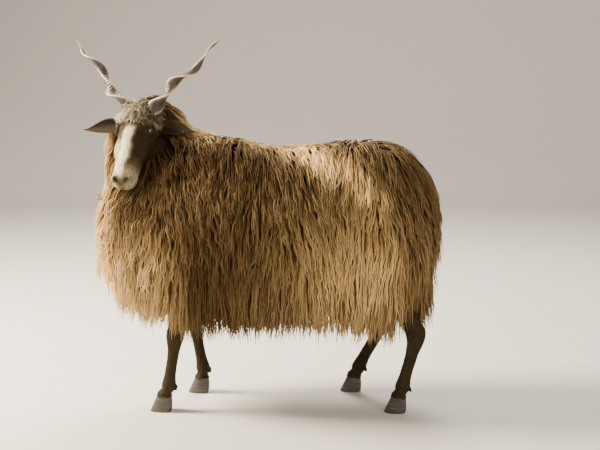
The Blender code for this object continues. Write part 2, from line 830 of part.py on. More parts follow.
def forelock():
    """Locks that fall from the poll over the forehead, between the horns."""
    skin = loft("skin", head_rings())
    surface = surface_of(skin)
    bpy.data.objects.remove(skin)

    def forwards(_, normal):
        fall = FACE_DOWN
        return (fall - normal * fall.dot(normal)).normalized()

    length, width, thickness = FORELOCK
    locks = []
    for i in range(FORELOCKS):
        side = 0.030 * (i / (FORELOCKS - 1) - 0.5)
        down = 0.004 + 0.018 * (i % 2)
        root, normal, _, _ = surface.find_nearest(to_head(down, side, 0.02))
        points = lock_path(
            surface, root, normal, length - 0.4 * abs(side), 0.010, 0, forwards, ROOT_SINK / 2, 4
        )
        locks.append(lock(points, normal, width, thickness, LOCK_WAVE / 3))
    return locks


def make_head(hide):
    head = loft("head", head_rings(), hide)
    path = mouth_path()
    swells = [ball("lids", eye_centre(side), EYE_RADIUS + LID, None, 12, 7) for side in (-1, 1)]
    swells += [lip_tube(path, lift) for lift in (-LIP, LIP)]
    join(head, swells + forelock())
    cutters = [mouth_groove(path)]
    for side in (-1, 1):
        cutters.append(ball("eye_room", eye_centre(side), EYE_RADIUS + GAP))
        cutters.append(eye_opening("eye_opening", side))
        cutters.append(nostril(side))
        cutters.append(loft("horn_room", horn_rings(side, GAP)))
        cutters.append(hull("ear_room", ear_rings(side, 3 * GAP)))
    cut(head, cutters, solver="MANIFOLD")
    keep_largest(head)


def dewclaws(joints, sizes):
    """The two small claws behind the fetlock."""
    x, y, z = joints[6]
    behind = sizes[6][0]
    claws = []
    for side in (-1, 1):
        rings = []
        for drop, back, size in DEWCLAW_RINGS:
            centre = Vector((x + behind + back, y + side * 0.0095, z - drop))
            turn = [2 * math.pi * k / 6 for k in range(6)]
            rings.append([centre + Vector((math.cos(a), math.sin(a), 0)) * size for a in turn])
        claws.append(loft("dewclaw", rings))
    return claws


def make_legs(hide, hoof):
    for name, (joints, sizes) in LEGS.items():
        leg = loft(name, leg_rings(joints, sizes), hide)
        join(leg, dewclaws(joints, sizes))
        foot_x, y, _ = joints[-1]
        for side, place in ((-1, "near"), (1, "off")):
            loft(f"{name}_claw_{place}", claw_rings(foot_x, y, side), hoof)


def stand_on_origin():
    """Moves everything so that the middle of the whole box, at the floor, is the origin."""
    bpy.context.view_layer.update()
    shown = [o for o in bpy.data.objects if o.type == "MESH"]
    corners = np.array([v.co for o in shown for v in o.data.vertices])
    middle = (corners.min(0) + corners.max(0)) / 2
    for obj in shown:
        obj.data.transform(Matrix.Translation((-middle[0], -middle[1], 0)))


def main():
    for obj in list(bpy.data.objects):
        bpy.data.objects.remove(obj)
    wool = paint("wool", (0.16, 0.09, 0.045), 0.95)
    hide = paint("hide", (0.035, 0.026, 0.020), 0.80)
    horn = paint("horn", (0.36, 0.27, 0.19), 0.50)
    hoof = paint("hoof", (0.06, 0.05, 0.045), 0.55)
    eye = paint("eye", (0.10, 0.06, 0.02), 0.08)
    make_tail(wool)
    make_trunk_and_neck(wool)
    make_head(hide)
    for side, word in ((1, "left"), (-1, "right")):
        loft(f"horn_{word}", horn_rings(side), horn)
        loft(f"ear_{word}", ear_rings(side), hide)
        ball(f"eye_{word}", eye_centre(side), EYE_RADIUS, eye)
    make_legs(hide, hoof)
    stand_on_origin()


main()
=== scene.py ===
"""The looks of a life-size racka ewe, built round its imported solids. Metres, +Z up, facing -X."""

import math

import bmesh
import bpy
import numpy as np
from mathutils import Matrix, Vector
from mathutils.bvhtree import BVHTree

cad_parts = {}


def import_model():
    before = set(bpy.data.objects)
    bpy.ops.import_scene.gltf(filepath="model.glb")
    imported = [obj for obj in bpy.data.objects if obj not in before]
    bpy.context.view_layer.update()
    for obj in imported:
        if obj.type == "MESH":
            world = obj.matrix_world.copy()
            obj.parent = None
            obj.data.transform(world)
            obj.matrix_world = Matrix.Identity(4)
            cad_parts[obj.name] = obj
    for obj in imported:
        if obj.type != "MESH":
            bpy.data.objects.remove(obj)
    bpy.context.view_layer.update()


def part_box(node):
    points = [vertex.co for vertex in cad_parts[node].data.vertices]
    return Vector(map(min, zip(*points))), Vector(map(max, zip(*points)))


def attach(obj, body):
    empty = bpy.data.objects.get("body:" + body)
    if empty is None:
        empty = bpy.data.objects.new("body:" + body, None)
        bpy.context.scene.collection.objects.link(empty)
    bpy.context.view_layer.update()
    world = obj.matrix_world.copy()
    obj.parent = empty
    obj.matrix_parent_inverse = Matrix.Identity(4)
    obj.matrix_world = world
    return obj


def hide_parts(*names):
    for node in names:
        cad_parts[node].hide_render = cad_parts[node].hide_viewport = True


# Driving sizes, as in the solids
WITHERS = 0.655
BODY_LENGTH = 0.76
BODY_FRONT = -0.335
HEAD_LENGTH = 0.236
HORN_LENGTH = 0.252
EAR_LENGTH = 0.110
SKIN_SHARE = 0.36  # how much of the coat's depth is close underwool, part of the skin
GAP = 0.0003

# The photo: its width and height, its horizon's row and focal length in pixels; the camera's place
PICTURE = (600, 450)
HORIZON = 43
FOCAL = 1231
CAMERA_PLACE = Vector((0.11, -3.2, 0.95))

DOWN = Vector((0, 0, -1))
ACROSS = Vector((0, 1, 0))

# Body sections: place, top, bottom, half width as shares of WITHERS, then the coat's reach in metres
BODY_SECTIONS = [
    (0.000, 0.760, 0.640, 0.045, -0.092, 0.070, 0.060, 0.045),
    (0.050, 0.850, 0.560, 0.110, -0.086, 0.060, 0.070, 0.060),
    (0.170, 0.975, 0.500, 0.175, -0.055, 0.055, 0.070, 0.066),
    (0.300, 1.000, 0.480, 0.208, -0.015, 0.072, 0.060, 0.070),
    (0.500, 0.972, 0.480, 0.236, 0.000, 0.058, 0.052, 0.070),
    (0.680, 0.972, 0.510, 0.230, 0.000, 0.070, 0.072, 0.072),
    (0.820, 0.985, 0.548, 0.205, 0.008, 0.066, 0.120, 0.074),
    (0.920, 0.950, 0.595, 0.170, 0.028, 0.064, 0.155, 0.070),
    (0.980, 0.880, 0.650, 0.110, 0.045, 0.042, 0.150, 0.055),
    (1.000, 0.820, 0.715, 0.050, 0.053, 0.030, 0.060, 0.030),
]

# The neck: centre, half size across and fore and aft, and the depth of its coat
NECK_SECTIONS = [
    ((-0.180, 0.000, 0.500), 0.100, 0.110, 0.055),
    ((-0.225, 0.003, 0.565), 0.086, 0.105, 0.058),
    ((-0.260, 0.026, 0.640), 0.070, 0.080, 0.084),
    ((-0.282, 0.042, 0.705), 0.058, 0.064, 0.072),
    ((-0.283, 0.046, 0.752), 0.047, 0.050, 0.052),
    ((-0.283, 0.036, 0.794), 0.024, 0.026, 0.040),
]
PART_POINT = Vector((-0.235, 0, 0.590))
PART_NORMAL = Vector((-0.616, 0, 0.787)).normalized()

# Height of the hem over the floor from front to rear
HEM_PLACES = [-0.42, -0.30, -0.20, 0.00, 0.20, 0.32, 0.44]
HEM = [0.276, 0.244, 0.200, 0.212, 0.208, 0.170, 0.190]

# The head's own frame: poll, heading and nod
POLL = Vector((-0.303, -0.030, 0.802))
HEAD_YAW = math.radians(74)
HEAD_NOD = math.radians(37)
HEADING = Vector((-math.cos(HEAD_YAW), -math.sin(HEAD_YAW), 0))
FACE_DOWN = HEADING * math.sin(HEAD_NOD) + DOWN * math.cos(HEAD_NOD)
FACE_OUT = HEADING * math.cos(HEAD_NOD) - DOWN * math.sin(HEAD_NOD)
HEAD_LEFT = Vector((math.sin(HEAD_YAW), -math.cos(HEAD_YAW), 0))

# Head sections: share of its length down the face, bridge, throat, half width, narrowing of the bridge
HEAD_SECTIONS = [
    (-0.016, -0.030, -0.054, 0.014, 0.00),
    (0.033, -0.006, -0.082, 0.038, 0.00),
    (0.142, 0.008, -0.104, 0.050, 0.08),
    (0.267, 0.013, -0.112, 0.055, 0.21),
    (0.375, 0.014, -0.110, 0.053, 0.26),
    (0.500, 0.014, -0.094, 0.042, 0.22),
    (0.645, 0.010, -0.074, 0.033, 0.18),
    (0.783, 0.003, -0.063, 0.030, 0.12),
    (0.892, -0.006, -0.060, 0.031, 0.04),
    (0.962, -0.016, -0.056, 0.026, 0.00),
    (1.000, -0.026, -0.046, 0.014, 0.00),
]
MOUTH_LINE = [
    (0.720, 0.036, -0.047),
    (0.790, 0.034, -0.046),
    (0.870, 0.034, -0.044),
    (0.940, 0.029, -0.042),
    (0.985, 0.016, -0.040),
    (1.000, 0.000, -0.039),
]
MOUTH_DEPTH = 0.005
LIP = 0.0042
NOSTRIL_PLACE = (0.950 * HEAD_LENGTH, 0.0150, -0.0150)
NOSTRIL_SIZE = (0.0036, 0.0070, 0.0095)
# Each side's brow, cheek crest and wing of the nostril, then the chin: place on the head, half sizes
FACE_SWELLS = [
    ((0.062, 0.0360, -0.006), (0.0140, 0.011, 0.011)),
    ((0.118, 0.0335, -0.030), (0.0125, 0.014, 0.040)),
    ((0.220, 0.0200, -0.020), (0.0085, 0.010, 0.012)),
]
CHIN = ((0.215, 0, -0.054), (0.017, 0.013, 0.018))
FACE_ROOM = ((-0.010, 0.238), 0.046, -0.055)  # down the face, to each side, out of the face

EYE_RADIUS = 0.0130
EYE_PLACE = (0.078, 0.0395, -0.019)
LID = 0.0028
EYE_OPENING = (0.0125, 0.0064)
EYE_SLANT = math.radians(24)

HORN_ROOT = (0.016, 0.031, -0.016)
HORN_SPREAD = math.radians(44)
HORN_BACK = math.radians(-15)
HORN_WIDTH = 0.041
HORN_THICKNESS = 0.022
HORN_TURNS = 1.75
HORN_SWAY = 0.009

EAR_ROOT = (0.050, 0.048, -0.044)
EAR_WIDTH = 0.046
EAR_WALL = 0.0035
EAR_DROOP = math.radians(6)
EAR_START = 0.062  # the head's half width where the ears begin

HOOF_HEIGHT = 0.042
CLEFT = 0.004
LEG_TOP = 0.30  # wool grows above, short hair below

# Leg sections: the joint above and the share of the way to the next, height, share of the leg's y,
# half size fore and aft, half size across
FORELEG = [
    (0, 0.0, 0.370, 0.95, 0.0360, 0.0300),
    (0, 0.4, 0.300, 0.97, 0.0270, 0.0240),
    (0, 0.8, 0.240, 1.0, 0.0215, 0.0200),
    (1, 0.0, 0.200, 1.0, 0.0225, 0.0215),
    (1, 0.3, 0.155, 1.0, 0.0150, 0.0150),
    (1, 0.75, 0.100, 1.0, 0.0145, 0.0145),
    (2, 0.0, 0.068, 1.0, 0.0185, 0.0190),
    (2, 0.4, 0.054, 1.0, 0.0150, 0.0175),
    (2, 0.8, HOOF_HEIGHT, 1.0, 0.0200, 0.0225),
]
HINDLEG = [
    (0, 0.0, 0.400, 0.95, 0.0480, 0.0340),
    (0, 0.4, 0.320, 1.0, 0.0360, 0.0280),
    (0, 0.85, 0.240, 1.0, 0.0240, 0.0200),
    (1, 0.0, 0.200, 1.0, 0.0240, 0.0190),
    (1, 0.28, 0.155, 1.0, 0.0165, 0.0155),
    (1, 0.75, 0.100, 1.0, 0.0155, 0.0150),
    (2, 0.0, 0.068, 1.0, 0.0190, 0.0190),
    (2, 0.4, 0.054, 1.0, 0.0155, 0.0175),
    (2, 0.8, HOOF_HEIGHT, 1.0, 0.0205, 0.0225),
]

# Each leg's y, the x of elbow or stifle, knee or hock, fetlock and sole, and its table
LEGS = {
    "leg_fore_left": (-0.088, (-0.172, -0.213, -0.232, -0.246), FORELEG),
    "leg_fore_right": (0.088, (-0.176, -0.178, -0.156, -0.160), FORELEG),
    "leg_hind_left": (-0.100, (0.300, 0.408, 0.376, 0.364), HINDLEG),
    "leg_hind_right": (0.100, (0.230, 0.336, 0.272, 0.256), HINDLEG),
}

# The fleece
LOCKS = 4780
LOCK_SPACING = 0.0123
STRANDS = 4  # in each lock
POINTS = 12  # along each strand
LOCK_LENGTH = 0.112
HEM_LENGTH = 0.205  # of the locks that hang from the lowest rows
POLL_LENGTH = 0.072  # of the locks behind the horns
LOCK_RADIUS = 0.0082
STRAND_WIDTHS = (0.0066, 0.0035, 0.0028, 0.0024)  # a broad one inside each lock, fine ones round it
CRIMP = 0.0030  # how far a strand swings to each side
CRIMP_LENGTH = 0.038
TIP_CURL = 0.006  # how far a lock's tip stands off
STRAY = 0.009  # how far a strand's tip leaves its lock sideways
COAT_REACH = 0.085  # the most that a lock stands off the underwool
HIGH_POLL = 0.79  # locks rooted above it stay low behind the horns
PIECE_STRANDS = 2900  # in one mesh
PATCH = 0.003  # a tuft's place on the unwrapped skin
PRESS = (1.0, 0.75, 0.5, 0.3, 0.12)  # how far a lock is pressed in beside the face

# The curly tuft on the forehead and between the horns
TUFT_LOCKS = 380
TUFT_SPACING = 0.0040
TUFT_LENGTH = 0.030
TUFT_WIDTHS = (0.0026, 0.0017, 0.0015, 0.0013)

# Short hair: strands on the head and legs, and points along each
HEAD_HAIRS = 9000
LEG_HAIRS = 5000
HAIR_POINTS = 3
HAIR_SPACING = 0.0028
HAIR_WIDTH = 0.0010

chance = np.random.default_rng(11)


def to_head(down, side, out):
    """A point given in the head's frame."""
    return POLL + FACE_DOWN * down + HEAD_LEFT * side + FACE_OUT * out


def in_head(place):
    """A point's distances down the face, to the head's left and out of the face."""
    spot = place - POLL
    return spot.dot(FACE_DOWN), spot.dot(HEAD_LEFT), spot.dot(FACE_OUT)


def all_in_head(places):
    """The same as in_head, for an array of points."""
    spots = places - np.array(POLL)
    return (spots @ np.array(axis) for axis in (FACE_DOWN, HEAD_LEFT, FACE_OUT))


def past_parting(places):
    """How far points are past the line where the neck's wool parts from the body's."""
    return (places - np.array(PART_POINT)) @ np.array(PART_NORMAL)


def on_side(spot, side):
    """Where one of a pair sits on the head: side is 1 on its left and -1 on its right."""
    down, aside, out = spot
    return to_head(down, side * aside, out)


def climb(value, start, width):
    """From 0 at the start to 1 at start + width, and flat beyond both."""
    return np.clip((value - start) / width, 0, 1)


def hump(value, middle, width):
    """1 at the middle, fading to both sides."""
    return np.exp(-(((value - middle) / width) ** 2))


def smooth_rows(rows, steps):
    """Rows of numbers read more finely along a smooth curve through them."""
    rows = np.asarray(rows, float)
    slopes = np.gradient(rows, axis=0)
    out = []
    for t in np.linspace(0, len(rows) - 1, steps):
        i = min(int(t), len(rows) - 2)
        u = t - i
        out.append(
            rows[i] * (2 * u**3 - 3 * u**2 + 1)
            + slopes[i] * (u**3 - 2 * u**2 + u)
            + rows[i + 1] * (3 * u**2 - 2 * u**3)
            + slopes[i + 1] * (u**3 - u**2)
        )
    return np.array(out)


def rounded(angle, power):
    """Cosine and sine of a superellipse's angle."""
    c, s = math.cos(angle), math.sin(angle)
    return math.copysign(abs(c) ** (2 / power), c), math.copysign(abs(s) ** (2 / power), s)


def circle(count):
    """Cosine and sine at even steps round a circle."""
    return [(math.cos(a), math.sin(a)) for a in (2 * math.pi * k / count for k in range(count))]


def oval(count, power):
    """The same round a superellipse."""
    return [rounded(2 * math.pi * k / count, power) for k in range(count)]


def ahead_of(places, i):
    """The way from the place before to the place after one in a line of them."""
    return Vector(places[min(i + 1, len(places) - 1)][:3]) - Vector(places[max(i - 1, 0)][:3])


def add_object(name, mesh):
    obj = bpy.data.objects.new(name, mesh)
    bpy.context.scene.collection.objects.link(obj)
    return obj


def loft(name, rings, round_again=False):
    """A closed solid through rings of points that match one to one, capped or led back to the first ring."""
    bm = bmesh.new()
    loops = [[bm.verts.new(p) for p in ring] for ring in rings]
    count = len(loops[0])
    for a, b in zip(loops, loops[1:] + (loops[:1] if round_again else [])):
        for i in range(count):
            j = (i + 1) % count
            bm.faces.new((a[i], a[j], b[j], b[i]))
    for loop in () if round_again else (loops[0], loops[-1]):
        bmesh.ops.poke(bm, faces=[bm.faces.new(loop)])
    bmesh.ops.recalc_face_normals(bm, faces=bm.faces)
    mesh = bpy.data.meshes.new(name)
    bm.to_mesh(mesh)
    bm.free()
    return add_object(name, mesh)


def ball(name, centre, size, turn=None, segments=32, rings=20):
    """A ball or, with three sizes, an ellipsoid turned by a matrix, its points always in one order."""
    spots = [(0, 0, 1)]
    for i in range(1, rings):
        wide, high = math.sin(math.pi * i / rings), math.cos(math.pi * i / rings)
        spots += [(wide * c, wide * s, high) for c, s in circle(segments)]
    spots.append((0, 0, -1))
    faces = []
    for k in range(segments):
        left, right = 1 + k, 1 + (k + 1) % segments
        faces.append((0, left, right))
        for _ in range(rings - 2):
            faces.append((left, left + segments, right + segments, right))
            left, right = left + segments, right + segments
        faces.append((left, len(spots) - 1, right))
    mesh = bpy.data.meshes.new(name)
    mesh.from_pydata(spots, [], faces)
    sizes = size if isinstance(size, tuple) else (size, size, size)
    mesh.transform(Matrix.Diagonal((*sizes, 1)))
    mesh.transform(Matrix.Translation(centre) @ (turn or Matrix.Identity(4)))
    return add_object(name, mesh)


def bake(obj):
    """Turns an object's modifiers into its mesh."""
    bpy.context.view_layer.update()
    graph = bpy.context.evaluated_depsgraph_get()
    mesh = bpy.data.meshes.new_from_object(obj.evaluated_get(graph))
    obj.modifiers.clear()
    obj.data = mesh


def merge(obj, others):
    """Puts the others' meshes into obj without joining their surfaces."""
    bm = bmesh.new()
    for part in (obj, *others):
        bm.from_mesh(part.data)
    bm.to_mesh(obj.data)
    bm.free()
    for other in others:
        bpy.data.objects.remove(other)


def remesh(obj, voxel, rounds):
    """One even closed surface round everything in the mesh, softened."""
    modifier = obj.modifiers.new("even", "REMESH")
    modifier.mode = "VOXEL"
    modifier.voxel_size = voxel
    bake(obj)
    modifier = obj.modifiers.new("soft", "SMOOTH")
    modifier.iterations = rounds
    modifier.factor = 0.5
    bake(obj)


def join(obj, others, operation="UNION"):
    group = bpy.data.collections.new(obj.name + "_pieces")
    for other in others:
        group.objects.link(other)
    boolean = obj.modifiers.new("join", "BOOLEAN")
    boolean.operation = operation
    boolean.operand_type = "COLLECTION"
    boolean.collection = group
    boolean.solver = "MANIFOLD"
    bake(obj)
    for other in others:
        bpy.data.objects.remove(other)
    bpy.data.collections.remove(group)


def surface_of(obj):
    """Something to ask for the nearest place on an object's skin."""
    return BVHTree.FromPolygons(
        [v.co for v in obj.data.vertices], [p.vertices for p in obj.data.polygons]
    )


def space_of(obj):
    """The surface of an object that isn't needed itself."""
    tree = surface_of(obj)
    bpy.data.objects.remove(obj)
    return tree


def envelope(name, cover):
    """Trunk and neck in one, with a share of the coat's depth over them."""
    trunk = loft(name, body_rings(cover))
    join(trunk, [loft("neck", neck_rings(cover))])
    return trunk


def body_rings(cover, count=44, steps=70):
    """Rings of the trunk; cover is how much of the coat's depth lies over the skin."""
    rings = []
    for row in smooth_rows(BODY_SECTIONS, steps):
        place, top, bottom, half, past, over, under, beside = row
        x = BODY_FRONT + BODY_LENGTH * place + past * cover
        high, low = top * WITHERS + over * cover, bottom * WITHERS - under * cover
        wide = half * WITHERS + beside * cover
        ring = []
        for k in range(count):
            angle = 2 * math.pi * k / count
            c, s = rounded(angle, 2.3 if math.sin(angle) > 0 else 2.3 + 0.7 * cover)
            ring.append(Vector((x, wide * c, (high + low) / 2 + (high - low) / 2 * s)))
        rings.append(ring)
    return rings


def neck_rings(cover, count=40, steps=40):
    rows = [[*centre, side, fore, coat] for centre, side, fore, coat in NECK_SECTIONS]
    rows = smooth_rows(rows, steps)
    rings = []
    for i, (x, y, z, side, fore, coat) in enumerate(rows):
        ahead = ahead_of(rows, i)
        across = ACROSS.cross(ahead).normalized()
        lateral = ahead.cross(across).normalized()
        centre, wide, deep = Vector((x, y, z)), side + coat * cover, fore + coat * cover
        rings.append([centre + lateral * wide * c + across * deep * s for c, s in oval(count, 2.1)])
    return rings


def head_rings(count=72, steps=110):
    rings = []
    for share, bridge, throat, half, narrow in smooth_rows(HEAD_SECTIONS, steps):
        mid, tall = (bridge + throat) / 2, (bridge - throat) / 2
        ring = []
        for c, s in oval(count, 2.25):
            wide = half * (1 - narrow * s)
            ring.append(to_head(share * HEAD_LENGTH, wide * c, mid + tall * s))
        rings.append(ring)
    return rings


def ear_rings(side, steps=44, outer=14, inner=12):
    """A leaf-shaped cup, hollow towards the front, with a soft rim."""
    along = HEAD_LEFT * side * math.cos(EAR_DROOP) + FACE_DOWN * math.sin(EAR_DROOP)
    hollow = (FACE_OUT - along * FACE_OUT.dot(along)).normalized()
    rim = along.cross(hollow)
    root = on_side(EAR_ROOT, side)
    rings = []
    for i in range(steps):
        t = i / (steps - 1)
        half = EAR_WIDTH / 2 * (0.42 + 0.58 * math.sin(math.pi * min(1, t * 1.15) ** 0.9))
        half = max(half * (1 - t**4), 0.0012)
        cup = math.radians(150 - 70 * t)
        radius = half / math.sin(cup / 2)
        wall = min(EAR_WALL, half) * (1 - 0.35 * t)
        ring = []
        for outside, turns in ((True, range(-outer, outer + 1)), (False, range(inner, -inner - 1, -1))):
            for k in turns:
                share = k / outer if outside else k / (inner * 1.12)
                angle = cup / 2 * share
                reach = radius if outside else radius - wall
                flare = 1 + 0.04 * math.sin(9 * t) * share**2
                place = root + along * (EAR_LENGTH * t - (0 if i else 0.012))
                place += rim * reach * math.sin(angle) * flare
                place += hollow * (radius - reach * math.cos(angle) - wall)
                ring.append(place)
        rings.append(ring)
    return rings


def leg_rows(y, joints, table):
    """The centre and half sizes of each section down a leg."""
    rows = []
    for joint, share, z, y_share, fore, side in table:
        x = joints[joint] * (1 - share) + joints[joint + 1] * share
        rows.append([x, y * y_share, z, fore, side])
    return rows


def leg_rings(sections, hind, count=32, steps=120):
    """Rings of a leg with the point of the hock, the knee and the sinew behind the cannon bone."""
    rows = smooth_rows(sections, steps)
    rings = []
    for i, (x, y, z, fore, side) in enumerate(rows):
        ahead = ahead_of(rows, i)
        if i == steps - 1:
            ahead = DOWN
            z = HOOF_HEIGHT
        lengthwise = ACROSS.cross(ahead).normalized()
        cannon = math.exp(-(((z - 0.128) / 0.040) ** 2))
        joint = math.exp(-(((z - (0.212 if hind else 0.200)) / 0.016) ** 2))
        ring = []
        for k in range(count):
            angle = 2 * math.pi * k / count
            c, s = math.cos(angle), math.sin(angle)
            rear = math.exp(-((angle - math.pi) ** 2) / 0.18) if hind else 0
            swell = 1 - 0.10 * cannon * s * s + 0.16 * joint * rear
            swell += 0 if hind else 0.05 * joint * max(0, c)
            ring.append(Vector((x, y, z)) + lengthwise * fore * c * swell + ACROSS * side * s * swell)
        rings.append(ring)
    return rings


def tail_rings(count=16, steps=30):
    rings = []
    for i in range(steps):
        t = i / (steps - 1)
        x = 0.405 + 0.050 * math.sin(min(1.0, t * 2.4) * math.pi / 2) - 0.016 * t
        z = 0.595 - 0.265 * t
        half = 0.014 * (1 - 0.5 * t) + 0.003 * math.sin(math.pi * t)
        rings.append([Vector((x + half * c, half * 1.25 * s, z)) for c, s in circle(count)])
    return rings


def eye_centre(side):
    return on_side(EYE_PLACE, side)


def eye_axes(side):
    """The eye's outward, lengthwise and upright directions."""
    outward = (HEAD_LEFT * side * 0.76 + FACE_OUT * 0.65).normalized()
    along = (FACE_DOWN * math.cos(EYE_SLANT) + FACE_OUT * math.sin(EYE_SLANT)).normalized()
    along = (along - outward * along.dot(outward)).normalized()
    return outward, along, outward.cross(along)


def eye_opening(side):
    """An almond-shaped plug that parts the lids."""
    outward, along, across = eye_axes(side)
    half_length, half_height = EYE_OPENING
    rings = []
    for reach, spread in ((0.004, 0.5), (0.012, 0.85), (0.018, 1.25), (0.030, 1.9)):
        ring = []
        for c, s in circle(40):
            height = half_height * s * abs(s) ** 0.4
            spot = (along * half_length * c + across * height) * spread
            ring.append(eye_centre(side) + outward * reach + spot)
        rings.append(ring)
    return loft("eye_opening", rings)


def lid_rim(side, count=36, around=10):
    """A soft fold of skin round the opening of the lids, thicker above the eye."""
    outward, along, across = eye_axes(side)
    half_length, half_height = EYE_OPENING
    centre, reach = eye_centre(side), EYE_RADIUS + LID * 0.7
    spots = []
    for c, s in circle(count):
        spot = along * half_length * c * 1.18 + across * half_height * s * 1.32 + outward * EYE_RADIUS * 0.75
        spots.append(centre + spot.normalized() * reach)
    rings = []
    for k, (_, s) in enumerate(circle(count)):
        normal = (spots[k] - centre).normalized()
        beside = (spots[(k + 1) % count] - spots[k - 1]).normalized().cross(normal)
        radius = 0.0018 + 0.0008 * abs(s)
        rings.append([spots[k] + (normal * c + beside * d) * radius for c, d in circle(around)])
    return loft("lid_rim", rings, round_again=True)


def mouth_path(steps=61):
    """Points round the mouth from corner to corner, each with the skin's normal there."""
    half = [(down * HEAD_LENGTH, side, out) for down, side, out in MOUTH_LINE]
    line = half + [(down, -side, out) for down, side, out in half[-2::-1]]
    surface = space_of(loft("skin", head_rings()))
    path = []
    for down, side, out in smooth_rows(line, steps):
        place, normal, _, _ = surface.find_nearest(to_head(down, side, out))
        path.append((place, normal))
    return path


def tube(path, lift, radius, count=10):
    """A soft ridge beside a path on the skin."""
    rings = []
    for centre, normal, across, share in path_frames(path):
        size = radius * min(1, 0.5 + 0.25 * share)
        centre = centre + across * lift - normal * size * 0.55
        rings.append([centre + (normal * c + across * s) * size for c, s in circle(count)])
    return loft("ridge", rings)


def path_frames(path):
    """Each place of a path with the skin's normal, the way across, and how far it is from the nearer end."""
    places = [place for place, _ in path]
    for i, (place, normal) in enumerate(path):
        across = ahead_of(places, i).normalized().cross(normal).normalized()
        yield place, normal, across, min(i, len(path) - 1 - i) / (len(path) - 1) * 12


def mouth_groove(path):
    """A wedge that cuts the line between the lips."""
    rings = []
    for place, normal, across, share in path_frames(path):
        depth = MOUTH_DEPTH * min(1, 0.3 + 0.3 * share)
        top = place + normal * 0.004
        rings.append([place - normal * depth, top + across * 0.0012, top - across * 0.0012])
    return loft("mouth", rings)


def nostril(side):
    """A comma-shaped hollow turned outwards at its top."""
    lean = (-FACE_DOWN + HEAD_LEFT * side * 0.75 + FACE_OUT * 0.2).normalized()
    inward = (FACE_OUT + FACE_DOWN * 0.8).normalized()
    inward = (inward - lean * inward.dot(lean)).normalized()
    turn = Matrix((inward.cross(lean), inward, lean)).transposed().to_4x4()
    return ball("nostril", on_side(NOSTRIL_PLACE, side), NOSTRIL_SIZE, turn, segments=20, rings=14)


def head_turn():
    """The head's frame as a rotation, for pieces set along it."""
    return Matrix((HEAD_LEFT, FACE_OUT, -FACE_DOWN)).transposed().to_4x4()


def make_head():
    """The head's skin with lids, cheeks, lips, nostrils and ears."""
    head = loft("skin", head_rings())
    path = mouth_path()
    swells = [tube(path, lift, LIP) for lift in (-LIP, LIP)]
    turn = head_turn()
    for side in (-1, 1):
        swells.append(ball("lids", eye_centre(side), EYE_RADIUS + LID))
        swells.append(lid_rim(side))
        for spot, size in FACE_SWELLS:
            swells.append(ball("swell", on_side(spot, side), size, turn))
    swells.append(ball("chin", to_head(*CHIN[0]), CHIN[1], turn))
    merge(head, swells)
    remesh(head, voxel=0.0017, rounds=7)
    join(head, [loft("ear", ear_rings(side)) for side in (-1, 1)])
    cutters = [mouth_groove(path)]
    for side in (-1, 1):
        cutters.append(ball("eye_room", eye_centre(side), EYE_RADIUS + GAP, segments=48, rings=30))
        cutters.append(eye_opening(side))
        cutters.append(nostril(side))
    for cutter in cutters:
        join(head, [cutter], "DIFFERENCE")
    return head


def dewclaws(sections):
    """The two small claws behind the fetlock."""
    x, y, z, behind, _ = sections[6]
    claws = []
    for side in (-1, 1):
        rings = []
        for drop, back, size in ((-0.007, -0.012, 0.0055), (0.002, -0.004, 0.0065), (0.010, 0.0005, 0.0040)):
            centre = Vector((x + behind + back, y + side * 0.0095, z - drop))
            rings.append([centre + Vector((c, s, 0)) * size for c, s in circle(16)])
        claws.append(loft("dewclaw", rings))
    return claws


def make_skin():
    """One closed skin over trunk, neck, head, ears, tail and legs."""
    trunk = loft("trunk", body_rings(SKIN_SHARE))
    merge(trunk, [loft("neck", neck_rings(SKIN_SHARE)), loft("tail", tail_rings())])
    remesh(trunk, voxel=0.007, rounds=6)
    legs = []
    for name, measures in LEGS.items():
        rows = leg_rows(*measures)
        leg = loft(name, leg_rings(rows, "hind" in name))
        join(leg, dewclaws(rows))
        legs.append(leg)
    skin = make_head()
    skin.name = "skin_whole"
    join(skin, [trunk, *legs])
    return skin


def lie_of(place, normal):
    """The way the wool lies: down the flank and a little back, off the spine to both sides."""
    middle = 0.040 if on_neck(place) else 0.0
    aside = min(1.0, max(-1.0, (place.y - middle) / 0.035))
    up = max(0, normal.z)
    fall = Vector((0.14 + 0.5 * up * (1 - abs(aside)), 0.6 * up * aside, -1))
    return (fall - normal * fall.dot(normal)).normalized()


def on_neck(place):
    return (place - PART_POINT).dot(PART_NORMAL) > 0


def hem_height(x):
    return float(np.interp(x, HEM_PLACES, HEM))


def in_face_room(place):
    """Whether a place lies in front of the face, where no wool hangs."""
    down, side, out = in_head(place)
    (top, bottom), half, back = FACE_ROOM
    return top < down < bottom and abs(side) < half and out > back


